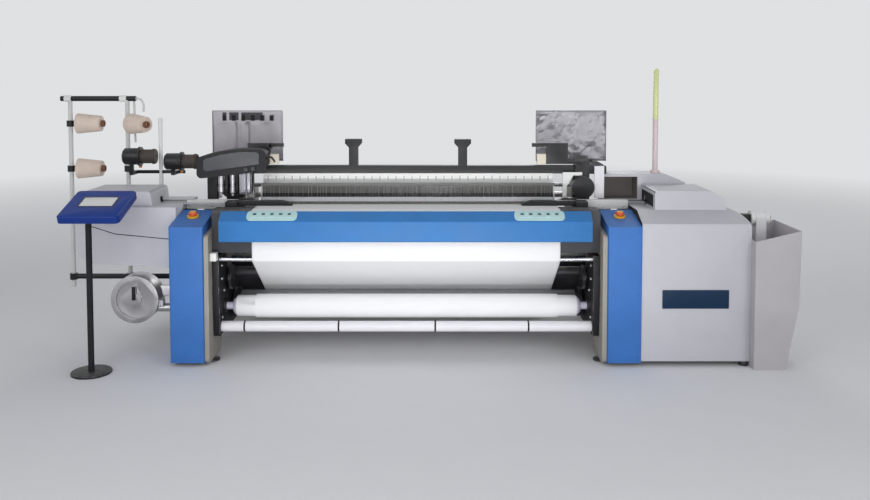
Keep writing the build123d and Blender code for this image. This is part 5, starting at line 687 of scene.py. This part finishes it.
class LOOM_OT_stage(bpy.types.Operator):
    """Sets the floor, the light and the camera"""
    bl_idname = "loom.stage"
    bl_label = "Stage"

    def execute(self, context):
        scene = context.scene
        scene.view_settings.view_transform = "Standard"
        bm = bmesh.new()
        bmesh.ops.create_grid(bm, x_segments=2, y_segments=2, size=40.0)
        mesh = bpy.data.meshes.new("floor")
        bm.to_mesh(mesh)
        bm.free()
        mesh.materials.append(FINISH["floor"])
        floor = bpy.data.objects.new("floor", mesh)
        scene.collection.objects.link(floor)
        world = bpy.data.worlds.new("studio")
        world.use_nodes = True
        scene.world = world
        tree = world.node_tree
        shade = tree.nodes["Background"]
        shade.inputs["Color"].default_value = (0.92, 0.95, 1.0, 1.0)
        shade.inputs["Strength"].default_value = 0.32
        seen = tree.nodes.new("ShaderNodeBackground")
        seen.inputs["Color"].default_value = BACKDROP
        path = tree.nodes.new("ShaderNodeLightPath")
        mix = tree.nodes.new("ShaderNodeMixShader")
        rays = math_node(tree, "MAXIMUM", path.outputs["Is Camera Ray"], path.outputs["Is Glossy Ray"])
        rays = math_node(tree, "MAXIMUM", rays, path.outputs["Is Transmission Ray"])
        tree.links.new(rays, mix.inputs[0])
        tree.links.new(shade.outputs[0], mix.inputs[1])
        tree.links.new(seen.outputs[0], mix.inputs[2])
        tree.links.new(mix.outputs[0], tree.nodes["World Output"].inputs["Surface"])
        for name, spot, aim, size, spread, power in (
                ("key", (-2.6, -5.2, 3.0), (0, 0, 0.7), (3.4, 3.4), 180, 64),
                ("fill", (3.6, -5.0, 2.2), (0.4, 0, 0.6), (3.0, 3.0), 180, 55),
                ("low", (0.2, -5.4, 1.3), (0, 0, 0.9), (3.2, 1.4), 100, 7),
                ("top", (0.0, -0.4, 4.6), (0, 0, 0.8), (4.2, 4.2), 180, 14),
                ("foot", (0.0, -2.9, 0.2), (0, -0.4, 0.75), (3.0, 0.2), 50, 4.2),
                ("rear", (1.2, 5.0, 3.4), (0, 0, 0.7), (3.4, 3.4), 180, 90)):
            lamp = bpy.data.lights.new(name, "AREA")
            lamp.shape = "ELLIPSE"
            lamp.size, lamp.size_y = size
            lamp.spread = math.radians(spread)
            lamp.energy = power
            thing = bpy.data.objects.new(name, lamp)
            thing.location = spot
            thing.visible_camera = False
            thing.rotation_euler = (Vector(aim) - Vector(spot)).to_track_quat("-Z", "Y").to_euler()
            scene.collection.objects.link(thing)
        camera = bpy.data.cameras.new("camera")
        camera.sensor_width = 36.0
        camera.lens = 36.0 * 852.3 / 870
        camera.shift_y = -0.148
        camera.clip_end = 200.0
        viewer = bpy.data.objects.new("camera", camera)
        viewer.location = at(168.6, -4828.4, 1672.2)
        viewer.rotation_euler = (math.radians(90 - 3.0), 0, 0)
        scene.collection.objects.link(viewer)
        scene.camera = viewer
        return {"FINISHED"}


class LOOM_OT_castings(bpy.types.Operator):
    """Finishes the frames, beams, stands, brackets and feet"""
    bl_idname = "loom.castings"
    bl_label = "Frames and beams"

    def execute(self, context):
        for node in ("left_side_frame", "right_side_frame", "warp_stands"):
            dress(node, "frame_beige", 3.0)
        dress("cross_beams", "beam_dark", 2.0)
        dress("take_up_brackets", "bracket_black", 2.0)
        dress("levelling_feet", "dark_steel", 1.0)
        dress("harness_guides", "rapier_black", 1.5, [
            ("white_plastic", lambda p, n: p.y < 461 and 962 < abs(p.x) < 1087 and p.z < 1080 and p.y > 446),
            ("tube_white", lambda p, n: p.y < 461 and 1160 < abs(p.x) < 1223 and p.z < 1194),
            ("cream", lambda p, n: p.y < 461 and abs(p.x) < 858 and p.z < 1194),
        ])
        dress("front_bars", "bright_steel", 0.0, [
            ("joint_dark_and_painted_shade", lambda p, n: p.z < 300 and math.hypot(p.y - 150, p.z - 196) > 31.6),
            ("tube_white", lambda p, n: p.z < 300)])
        bm = bmesh.new()
        for side in (-1, 1):
            add_gear(bm, 455, 268, 92, side * 1060, side * 1078, 44)
            add_gear(bm, 320, 452, 74, side * 1060, side * 1078, 34)
            add_gear(bm, 418, 416, 52, side * 1064, side * 1076, 24)
            for y, z, r in ((455, 268, 44), (225, 300, 40), (320, 452, 30), (418, 416, 24)):
                add_lathe(bm, [(r, 0), (r, 9), (r * 0.8, 14), (r * 0.45, 14), (r * 0.4, 8), (0, 8)],
                          (side * 1091.5, y, z), (-side, 0, 0), 28)
        make("take_up_gears", bm, "dark_steel", "loom", 0.0)
        places = []
        for side in (-1, 1):
            for y, z in ((150, 560), (150, 480), (200, 400), (150, 250), (520, 330), (520, 210), (300, 560)):
                places.append((side * 1091.5, y, z))
        left = [p for p in places if p[0] < 0]
        right = [p for p in places if p[0] > 0]
        repeat("left_bracket_bolts", screw_shape(9, (1, 0, 0), 8), left, "rail_grey", "loom")
        repeat("right_bracket_bolts", screw_shape(9, (-1, 0, 0), 8), right, "rail_grey", "loom")
        bm = bmesh.new()
        add_box(bm, (-1131.8, -1094), (40, 86), (606, 654))
        make("junction_box", bm, "white_plastic", "loom", 4.0)
        return {"FINISHED"}


class LOOM_OT_covers(bpy.types.Operator):
    """Finishes the blue covers, keypads and stop buttons"""
    bl_idname = "loom.covers"
    bl_label = "Blue covers"

    def execute(self, context):
        radius = context.scene.loom_sizes.screw_radius
        for node in ("left_column_cover", "right_column_cover"):
            dress(node, "cover_blue", 3.5)
        dress("breast_beam_cover", "beam_blue", 2.5)
        dress("keypads", "mint", 0.8)
        slope = math.atan2(54, 68)
        rise, out = Vector((0, math.cos(slope), math.sin(slope))), Vector((0, -math.sin(slope), math.cos(slope)))
        cap = about_zero(lambda bm: add_box(bm, (-9, 9), (-6, 6), (-0.4, 0.9)))
        bmesh.ops.rotate(cap, verts=cap.verts, matrix=Matrix.Rotation(slope, 3, "X"))
        seat = Vector((0, 44, 869)) + out * 10.4 + rise * 7
        places = [(side * 770 + 50 * k, seat.y, seat.z) for side in (-1, 1) for k in range(-2, 3)]
        repeat("key_caps", cap, places, "key_dark", "loom")
        dress("stop_button_collars", "yellow_and_painted_highlight", 1.0)
        for node in ("left_stop_button", "right_stop_button"):
            # The buttons' upward faces take the yellow as a painted highlight
            dress(node, "stop_red", 0.0, [("yellow_and_painted_highlight", lambda p, n: n.z > 0.75)])
        places = [(side * x, 0, z) for side in (-1, 1) for x in (1180, 1337) for z in (60, 420, 780)]
        repeat("cover_screws", screw_shape(radius, (0, -1, 0), 3), places, "cover_blue", "loom")
        places = [(x, 10, 748) for x in range(-1040, 1041, 260)]
        repeat("beam_screws", screw_shape(radius * 0.8, (0, -1, 0), 3), places, "beam_blue", "loom")
        return {"FINISHED"}


class LOOM_OT_cloth(bpy.types.Operator):
    """Lays the woven cloth, the waste ribbon and the rolls"""
    bl_idname = "loom.cloth"
    bl_label = "Cloth and rolls"

    def execute(self, context):
        ripple = context.scene.loom_sizes.ripple
        route, radii = cloth_route()
        line = rounded_line(route, radii, 12.0)
        lengths = [0.0]
        for one, two in zip(line, line[1:]):
            lengths.append(lengths[-1] + math.hypot(two[0] - one[0], two[1] - one[1]))
        columns = 120
        bm = bmesh.new()
        uv = bm.loops.layers.uv.new("UVMap")
        grid = []
        for i, (y, z) in enumerate(line):
            ahead = Vector(line[min(i + 1, len(line) - 1)]) - Vector(line[max(i - 1, 0)])
            ahead.normalize()
            free = max(0.0, min(1.0, (800 - z) / 60, (z - 650) / 60)) if y < 100 else 0.0
            row = []
            for k in range(columns + 1):
                x = -900 + 1800 * k / columns
                wave = math.sin(x * 0.011 + 0.6) * 0.6 + math.sin(x * 0.027 + 2.0) * 0.4
                lift = ripple / MM * wave * free
                row.append(bm.verts.new(at(x, y + ahead[1] * lift, z - ahead[0] * lift)))
            grid.append(row)
        for i in range(len(line) - 1):
            for k in range(columns):
                face = bm.faces.new((grid[i][k], grid[i + 1][k], grid[i + 1][k + 1], grid[i][k + 1]))
                spots = ((k, i), (k, i + 1), (k + 1, i + 1), (k + 1, i))
                for loop, (a, b) in zip(face.loops, spots):
                    loop[uv].uv = (1.8 * a / columns, lengths[b] * MM)
        cloth = settle("woven_cloth", bm, ["cloth"], "loom", ("cloth_sheet",), 180)
        thicken(cloth, 0.0012)
        reach = 42.9
        route = [(250 + reach, 770), (250 + reach, 828 + reach), (250 - reach, 828 + reach), (250 - reach, 560)]
        line = rounded_line(route, [reach - 0.1, reach - 0.1], 6.0)
        lengths = [0.0]
        for one, two in zip(line, line[1:]):
            lengths.append(lengths[-1] + math.hypot(two[0] - one[0], two[1] - one[1]))
        bm = bmesh.new()
        uv = bm.loops.layers.uv.new("UVMap")
        grid = [[bm.verts.new(at(2080 + 62 * k / 8, y, z)) for k in range(9)] for y, z in line]
        for i in range(len(line) - 1):
            for k in range(8):
                face = bm.faces.new((grid[i][k], grid[i + 1][k], grid[i + 1][k + 1], grid[i][k + 1]))
                for loop, (a, b) in zip(face.loops, ((k, i), (k, i + 1), (k + 1, i + 1), (k + 1, i))):
                    loop[uv].uv = (0.062 * a / 8, lengths[b] * MM)
        ribbon = settle("waste_ribbon", bm, ["cloth"], "loom", (), 180)
        thicken(ribbon, 0.0012)
        dress("cloth_roll", "roll_cloth", 0.0, [("roll_core", lambda p, n: abs(p.x) > 900.5)])
        dress("take_up_roller", "roller_grip", 1.0)
        dress("press_roller", "bright_steel", 1.0)
        return {"FINISHED"}


def thicken(piece, thickness):
    """Gives a sheet its real thickness."""
    wall = piece.modifiers.new("Thickness", "SOLIDIFY")
    wall.thickness = thickness
    wall.offset = 0.0


def tangent_run(first, second, over):
    """Where a straight run leaves the first circle, and its slope."""
    (y0, z0, r0), (y1, z1, r1) = first, second
    angle = math.atan2(z1 - z0, y1 - y0)
    angle += math.asin((r0 + (r1 if over else -r1)) / math.hypot(y1 - y0, z1 - z0))
    return (y0 + r0 * math.sin(angle), z0 - r0 * math.cos(angle)), math.tan(angle)


def cloth_route():
    """Corners of the cloth's middle line, and the radius of each bend."""
    level, bar, pull, wind = 896.4, 13.9, 70.9, 69.9
    front, rear = 111 - bar, 455 + pull
    (down_y, down_z), down = tangent_run((111, 604, bar), (455, 268, pull), True)
    (end_y, end_z), home = tangent_run((225, 300, wind), (455, 268, pull), False)
    route = [(320, level), (front, level), (front, down_z + down * (front - down_y)),
             (rear, down_z + down * (rear - down_y)), (rear, end_z + home * (rear - end_y)), (end_y, end_z)]
    return route, [20.9, bar, pull, pull]


def rounded_line(route, radii, step):
    """A line of corners with each bend rounded, as close points."""
    corners = [Vector(p) for p in route]
    line = [corners[0]]
    for corner, radius, before, after in zip(corners[1:-1], radii, corners, corners[2:]):
        come, go = (before - corner).normalized(), (after - corner).normalized()
        half = come.angle(go) / 2
        setback = radius / math.tan(half)
        start, end = corner + come * setback, corner + go * setback
        middle = corner + (come + go).normalized() * radius / math.sin(half)
        first, last = start - middle, end - middle
        sweep = first.angle_signed(last)
        count = max(4, int(abs(sweep) * radius / 4))
        line.append(start)
        for i in range(1, count + 1):
            turn = Matrix.Rotation(-sweep * i / count, 2)
            line.append(middle + turn @ first)
    line.append(corners[-1])
    out = [line[0]]
    for point in line[1:]:
        gap = (point - out[-1]).length
        if gap < 0.05:
            continue
        start = out[-1]
        for k in range(1, int(gap / step) + 1):
            if k * step < gap - 1.0:
                out.append(start + (point - start) * (k * step / gap))
        out.append(point)
    return [(p.x, p.y) for p in out]


class LOOM_OT_weaving(bpy.types.Operator):
    """Builds the reed, sley, heald frames, warp and drop wires"""
    bl_idname = "loom.weaving"
    bl_label = "Weaving zone"

    def execute(self, context):
        size = context.scene.loom_sizes
        dress("sley", "aluminium", 1.0, [("dark_steel", lambda p, n: p.z < 640)])
        dress("reed", "aluminium", 0.0, [("dent_steel", lambda p, n: p.z > 846)])
        dent = about_zero(lambda bm: add_box(bm, (-1.2, 1.2), (-3.2, 3.2), (-76, 76)))
        step = 1796 / size.dents
        places = [(-898 + step * (i + 0.5), 415, 922) for i in range(size.dents)]
        repeat("reed_dents", dent, places, "dent_steel", "sley")
        for i in range(4):
            node = f"heald_frame_{i + 1}"
            y = 486 + 15 * i
            dress(node, "rapier_black", 0.6, [
                ("heald_steel", lambda p, n: 735 < p.z < 1064 and abs(p.x) < 1000),
                ("rail_grey", lambda p, n: n.y < -0.9 and 1060 < p.z < 1117)])
            heald = about_zero(draw_heald)
            step = 1794 / (size.healds - 1 / 3)
            shift = step * (1 / 6, 1 / 2, 5 / 6, 1 / 6)[i]
            places = [(-897 + shift + step * k, y, 899) for k in range(size.healds) if shift + step * k < 1794]
            repeat(f"healds_{i + 1}", heald, places, "heald_steel", node)
        bm = bmesh.new()
        add_box(bm, (-905, 905), (477, 481.4), (1008, 1068))
        make("heald_strip", bm, "white_plastic", "heald_frame_1", 1.0)
        tick = about_zero(lambda bm: add_box(bm, (-1.6, 1.6), (-0.7, 0.7), (-13, 13)))
        places = [(-875 + 50 * k, 476.9, 1040) for k in range(36)]
        repeat("strip_ticks", tick, places, "key_dark", "heald_frame_1")
        bm = bmesh.new()
        line = warp_line()
        spots = [(-897 + 1794 * k / (size.warp_threads - 1)) for k in range(size.warp_threads)]
        for x in spots:
            rings = [[bm.verts.new(at(x + dx, y, z + dz)) for dx, dz in ((-0.7, 0), (0, 0.6), (0.7, 0), (0, -0.6))]
                     for y, z in line]
            for one, two in zip(rings, rings[1:]):
                for k in range(4):
                    bm.faces.new((one[k], one[(k + 1) % 4], two[(k + 1) % 4], two[k]))
            bm.faces.new(rings[0])
            bm.faces.new(rings[-1])
        make("warp_threads", bm, "warp_yarn", "loom", 0.0, ("warp_sheet",), 60)
        dress("drop_wire_bars", "bright_steel", 0.0)
        wire = about_zero(lambda bm: add_box(bm, (-0.5, 0.5), (-5, 5), (-64, 6)))
        places = [(-890 + 12 * k, y, 928) for k in range(149) for y in (900, 962)]
        repeat("drop_wires", wire, places, "heald_steel", "loom", turn=(0, 0, 0.05))
        return {"FINISHED"}


def draw_heald(bm):
    """A flat heald with an open eye at the warp's height."""
    add_box(bm, (-0.9, 0.9), (-1.2, 1.2), (8, 164))
    add_box(bm, (-0.9, 0.9), (-1.2, 1.2), (-166, -12))
    for side in (-1, 1):
        add_box(bm, (side * 1.5, side * 0.8), (-1.2, 1.2), (-12, 8))


def warp_line():
    """The warp's middle line from the fell over the back rest to the beam."""
    rest_z, rest, beam = 835.0, 61.05, 301.05
    angle = math.atan2(450 - rest_z, 200)
    normal = angle + math.acos((rest - beam) / math.hypot(450 - rest_z, 200))
    end = (1400 + beam * math.cos(normal), 450 + beam * math.sin(normal))
    line = [(321, 896.2), (700, 896.2), (1000, 896.2), (1200, rest_z + rest)]
    count = 6
    for i in range(1, count + 1):
        turn = math.pi / 2 + (normal - math.pi / 2) * i / count
        line.append((1200 + rest * math.cos(turn), rest_z + rest * math.sin(turn)))
    line.append(end)
    return line


class LOOM_OT_rapiers(bpy.types.Operator):
    """Finishes the rapiers, rails, wheels, temples and weft presenter"""
    bl_idname = "loom.rapiers"
    bl_label = "Rapiers and presenter"

    def execute(self, context):
        for side in ("left", "right"):
            dress(f"{side}_rapier", "rapier_black", 0.5)
            dress(f"{side}_rapier_wheel", "aluminium", 0.8)
        dress("rapier_rails", "aluminium", 1.0)
        bm = bmesh.new()
        for side in (-1, 1):
            add_box(bm, (side * 1042, side * 1350), (352.6, 355.9), (864, 917))
        make("rail_aprons", bm, "pale_paint", "loom", 1.0)
        places = [(side * x, 352.6, 878) for side in (-1, 1) for x in (1070, 1196, 1322)]
        repeat("apron_screws", screw_shape(5, (0, -1, 0), 3), places, "bright_steel", "loom")
        dress("temples", "bracket_black", 1.0)
        dress("weft_presenter", "bracket_black", 3.0)
        for i in (1, 2):
            dress(f"presenter_needle_{i}", "bright_steel", 0.0, [("dark_steel", lambda p, n: p.z > 1090)])
        bm = bmesh.new()
        panel = [(-1226, 1172), (-1130, 1198), (-1020, 1214), (-915, 1214), (-902, 1200), (-902, 1140), (-1226, 1098),
                 (-1240, 1110), (-1240, 1158)]
        add_prism(bm, panel, "y", 326, 331)
        make("presenter_panel", bm, "panel_grey", "loom", 1.5)
        bm = bmesh.new()
        add_tube(bm, curve_points([(-872, 350, 1170), (-850, 346, 1184), (-838, 344, 1212), (-834, 344, 1238)], 6), 7)
        add_tube(bm, curve_points([(-850, 346, 1186), (-826, 344, 1180), (-806, 344, 1152)], 6), 6)
        add_lathe(bm, [(15, -5), (19, 0), (15, 5), (9, 5), (9, -5)], (-834, 344, 1252), (0, 1, 0), 24)
        make("presenter_lever", bm, "rapier_black", "loom", 0.0)
        for name, tone, places in (
                ("pale_actuators", "aluminium", ((-1143, 19, 946), (-1072, 17, 942))),
                ("dark_actuators", "rapier_black", ((-1109, 13, 940), (-1044, 9, 948), (-947, 8, 946)))):
            bm = bmesh.new()
            for x, radius, low in places:
                draw_actuator(bm, x, radius, low)
            make(name, bm, tone, "loom", 0.0)
        bm = bmesh.new()
        add_box(bm, (-1026, -962), (348, 398), (954, 1092))
        for z in range(966, 1072, 15):
            add_box(bm, (-1020, -968), (345, 349), (z, z + 7))
        make("actuator_block", bm, "rail_grey", "loom", 1.5)
        return {"FINISHED"}


def draw_actuator(bm, x, radius, low):
    """A turned actuator that hangs from the presenter's underside."""
    tall = 1050 + (x + 1282) * 48 / 420 + 8 - low
    add_lathe(bm, [(0, 0), (radius * 0.5, 0), (radius * 0.5, 14), (radius * 0.8, 14), (radius, 19),
                   (radius, tall * 0.42), (radius * 0.86, tall * 0.44), (radius * 0.86, tall * 0.52),
                   (radius, tall * 0.54), (radius, tall), (0, tall)], (x, 372, low), (0, 0, 1), 28)


class LOOM_OT_guards(bpy.types.Operator):
    """Finishes the end guards behind the heald frames"""
    bl_idname = "loom.guards"
    bl_label = "End guards"

    def execute(self, context):
        bm = bmesh.new()
        columns = sorted({-1290 + 458 * k / 52 for k in range(53)} | {-1061 + 62 * k + s for k in SLOTS for s in (-13, 13)})
        rows = sorted({1118 + 332 * k / 26 for k in range(27)} | {1382.0, 1416.0})
        bend = [(x, 770 + pleat(x)) for x in columns]
        bend = [(-1290, 746), (-1290, 757)] + bend + [(-832, 757), (-832, 746)]
        grid = [[bm.verts.new(at(x, y if z < 1372 else 770 + (y - 770) * (x in (-1290, -832)), z)) for x, y in bend]
                for z in rows]
        for i in range(len(rows) - 1):
            for k in range(len(bend) - 1):
                x, z = (bend[k][0] + bend[k + 1][0]) / 2, (rows[i] + rows[i + 1]) / 2
                if 1382 < z < 1416 and any(abs(x + 1061 - 62 * s) < 13 for s in SLOTS):
                    continue
                face = bm.faces.new((grid[i][k], grid[i][k + 1], grid[i + 1][k + 1], grid[i + 1][k]))
                face.material_index = int(1387 < z < 1441 and any(a < x < b for a, b in SHADOWS))
        left = settle("left_guard_sheet", bm, ["guard_dull", "guard_shadow"], "loom", ("end_guards",), 40)
        thicken(left, 0.0016)
        # A dark sheet behind the left guard's slots: painted shade seen through them
        bm = bmesh.new()
        add_box(bm, (-1252, -870), (771.4, 773.4), (1376, 1422))
        make("guard_slot_back", bm, "joint_dark_and_painted_shade", "loom")
        bm = bmesh.new()
        columns = [832 + 458 * k / 24 for k in range(25)]
        rows = [1118 + 332 * k / 18 for k in range(19)]
        grid = []
        for z in rows:
            line = [bm.verts.new(at(832, 746, z))]
            for x in columns:
                line.append(bm.verts.new(at(*crumple(x, z))))
            line.append(bm.verts.new(at(1290, 746, z)))
            grid.append(line)
        for i in range(len(rows) - 1):
            for k in range(len(grid[0]) - 1):
                a, b, c, d = grid[i][k], grid[i][k + 1], grid[i + 1][k + 1], grid[i + 1][k]
                pair = ((a, b, c), (a, c, d)) if (i * 7 + k * 5) % 3 else ((a, b, d), (b, c, d))
                for corners in pair:
                    bm.faces.new(corners)
        right = settle("right_guard_sheet", bm, ["guard_sheet"], "loom", (), 9)
        thicken(right, 0.0016)
        return {"FINISHED"}


SLOTS = (-2.5, -1.5, -0.5, 0.5, 1.5, 2.5)
SHADOWS = ((-1232, -1198), (-1184, -1127), (-1108, -968))


def pleat(x):
    """How far the left guard's sheet stands back at a place across it."""
    fold = sum(9 * math.exp(-((x - place) / 8) ** 2) for place in (-1142, -1063))
    return fold - 6 * math.exp(-((x + 1100) / 12) ** 2) + 2.5 * math.sin(x * 0.045)


def crumple(x, z):
    """A place on the right guard's crumpled sheet."""
    inside = 0.0 if x in (832.0, 1290.0) or z in (1118.0, 1450.0) else 1.0
    spot = Vector((x * 0.011, z * 0.011, 1.7))
    lift = field.noise(spot) * 13 + field.noise(spot * 2.3) * 8
    push = field.noise_vector(spot * 5.3)
    return x + push.x * 9 * inside, max(748.0, min(781.0, 767 + lift)), z + push.y * 8 * inside


class LOOM_OT_left_end(bpy.types.Operator):
    """Finishes the left housing, blower and terminal"""
    bl_idname = "loom.left_end"
    bl_label = "Left end"

    def execute(self, context):
        dress("left_housing", "cabinet_grey", 4.0)
        dress("suction_blower", "aluminium", 1.2,
              [("rapier_black", lambda p, n: p.y < 329), ("cream", lambda p, n: p.z < 226 and p.x > -1640),
               ("cabinet_grey", lambda p, n: p.y > 346 and p.x < -1500)])
        bm = bmesh.new()
        add_box(bm, (-1546, -1506), (350, 400), (260, 298))
        make("blower_terminals", bm, "white_plastic", "loom", 3.0)
        bm = bmesh.new()
        seam = [(-1866, 797), (-1717, 749), (-1405, 719), (-1358, 717)]
        add_prism(bm, seam + [(x, z - 5) for x, z in seam[::-1]], "y", 149.4, 151)
        make("housing_seam", bm, "joint_dark_and_painted_shade", "loom")
        bm = bmesh.new()
        for x in (-1532, -1909):
            add_tube(bm, [(x, 193, 981), (x, 517, 981)], 7)
        make("hood_edges", bm, "cabinet_grey", "loom")
        dress("terminal_housing", "terminal_blue", 2.5)
        dress("terminal_screen", "screen", 0.6)
        bm = bmesh.new()
        tilt = math.radians(18.5)
        low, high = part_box("terminal_screen")
        middle = back((low + high) / 2)
        wide, tall = (high.x - low.x) / MM / 2 + 7, (high.y - low.y) / MM / 2 / math.cos(tilt) + 7
        for x, y in (((-wide, wide), (tall - 7, tall)), ((-wide, wide), (-tall, 7 - tall)),
                     ((-wide, 7 - wide), (7 - tall, tall - 7)), ((wide - 7, wide), (7 - tall, tall - 7))):
            add_box(bm, x, y, (0, 4))
        bmesh.ops.translate(bm, verts=bm.verts, vec=-at(0, 0, 0))
        bmesh.ops.rotate(bm, verts=bm.verts, matrix=Matrix.Rotation(tilt, 3, "X"))
        bmesh.ops.translate(bm, verts=bm.verts, vec=at(*middle))
        make("screen_bezel", bm, "rapier_black", "terminal", 0.8)
        dress("terminal_post", "bracket_black", 1.5)
        dress("drive_units", "dark_steel", 1.0)
        return {"FINISHED"}


class LOOM_OT_creel(bpy.types.Operator):
    """Finishes the creel, cones and weft feeders"""
    bl_idname = "loom.creel"
    bl_label = "Creel and feeders"

    def execute(self, context):
        dress("creel_frame", "pale_paint", 0.0, [
            ("rapier_black", lambda p, n: p.z > 1508 or 344 < p.z < 392 or (p.x < -1700 and p.z > 900 and min(
                math.hypot(p.x - x, p.y - 700) for x in (-2198, -1828)) > 17)),
            ("white_plastic", lambda p, n: math.hypot(p.x + 1582, p.y - 597) < 14),
            ("rapier_black", lambda p, n: math.hypot(p.y - 597, p.z - 1065) < 12),
        ])
        bm = bmesh.new()
        for x in (-2234, -1876):
            add_lathe(bm, [(18, 0), (21, 3), (21, 43), (18, 46)], (x, 700, 1530), (1, 0, 0), 20)
        make("bar_caps", bm, "white_plastic", "loom")
        bm = bmesh.new()
        add_tube(bm, curve_points([(-1788, 714, 1530), (-1788, 716, 1440), (-1787, 716, 1340), (-1784, 716, 1244)], 7), 7)
        add_tube(bm, curve_points([(-1776, 700, 1530), (-1742, 700, 1524), (-1722, 698, 1494), (-1720, 690, 1446)], 7), 7)
        make("creel_hooks", bm, "pale_paint", "loom")
        dress("yarn_cones", "cone_yarn", 1.0)
        dress("cone_cores", "brown_card", 0.6)
        dress("feeder_bodies", "rapier_black", 0.8)
        dress("feeder_drums", "drum_dark", 0.6)
        for i in (1, 2):
            dress(f"feeder_disc_{i}", "rapier_black", 0.6, [
                ("feeder_orange", lambda p, n: p.z < (1128, 1096)[i - 1] and abs(p.y - 505) < 14)])
        return {"FINISHED"}


class LOOM_OT_right_end(bpy.types.Operator):
    """Finishes the cabinet, hoods, signal lamp, bin and waste roller"""
    bl_idname = "loom.right_end"
    bl_label = "Right end"

    def execute(self, context):
        dress("drive_cabinet", "cabinet_grey", 5.0)
        # The hoods' recess faces are painted darker grey: painted shade in the recess
        dress("right_hoods", "cabinet_grey", 4.0, [
            ("recess_painted_shade", lambda p, n: (n.y > -0.5 or p.y > 520) and p.x < 1442 and 504 < p.y + 5 < 650
             and 900 < p.z < 1048)])
        dress("signal_pole", "lamp_pink", 0.0)
        dress("signal_lamp", "lamp_green", 0.0)
        dress("waste_bin", "bin_grey", 2.0)
        dress("waste_roller", "white_plastic", 1.0)
        dress("waste_arm", "bracket_black", 1.0)
        bm = bmesh.new()
        add_box(bm, (1476, 1860), (11, 15), (338, 447))
        make("bare_plate", bm, "plate_teal", "loom", 2.0)
        # A dark sheet on the hood's side: painted shade standing in for its opening
        bm = bmesh.new()
        mouth = [(190, 900), (348, 900), (348, 941), (408, 941), (408, 900), (468, 900), (468, 972), (190, 972)]
        add_prism(bm, mouth, "x", 1460.8, 1462.4)
        make("hood_mouth", bm, "joint_dark_and_painted_shade", "loom")
        return {"FINISHED"}


class LOOM_OT_back(bpy.types.Operator):
    """Finishes the warp beam, its flanges and the back rest"""
    bl_idname = "loom.back"
    bl_label = "Back of the loom"

    def execute(self, context):
        dress("warp_beam", "warp_yarn", 0.0, [("dark_steel", lambda p, n: abs(p.x) > 901)])
        dress("warp_beam_flanges", "aluminium", 1.0)
        dress("back_rest_roller", "bright_steel", 1.0)
        return {"FINISHED"}


class LOOM_PT_panel(bpy.types.Panel):
    """Lists the loom's builders"""
    bl_idname = "LOOM_PT_panel"
    bl_label = "Loom"
    bl_space_type = "VIEW_3D"
    bl_region_type = "UI"
    bl_category = "Loom"

    def draw(self, context):
        for builder in BUILDERS:
            self.layout.operator(builder.bl_idname)


BUILDERS = (LOOM_OT_finishes, LOOM_OT_stage, LOOM_OT_castings, LOOM_OT_covers, LOOM_OT_cloth, LOOM_OT_weaving,
            LOOM_OT_rapiers, LOOM_OT_guards, LOOM_OT_left_end, LOOM_OT_creel, LOOM_OT_right_end, LOOM_OT_back)
CLASSES = (LoomColours, LoomSizes, *BUILDERS, LOOM_PT_panel)


def register():
    """Registers the classes and the scene's settings."""
    for kind in CLASSES:
        bpy.utils.register_class(kind)
    bpy.types.Scene.loom_colours = bpy.props.PointerProperty(type=LoomColours)
    bpy.types.Scene.loom_sizes = bpy.props.PointerProperty(type=LoomSizes)


def unregister():
    """Takes the settings and classes away again."""
    del bpy.types.Scene.loom_sizes
    del bpy.types.Scene.loom_colours
    for kind in reversed(CLASSES):
        bpy.utils.unregister_class(kind)


def main():
    """Builds everything in order."""
    register()
    for builder in BUILDERS:
        family, name = builder.bl_idname.split(".")
        getattr(getattr(bpy.ops, family), name)()


if __name__ == "__main__":
    main()
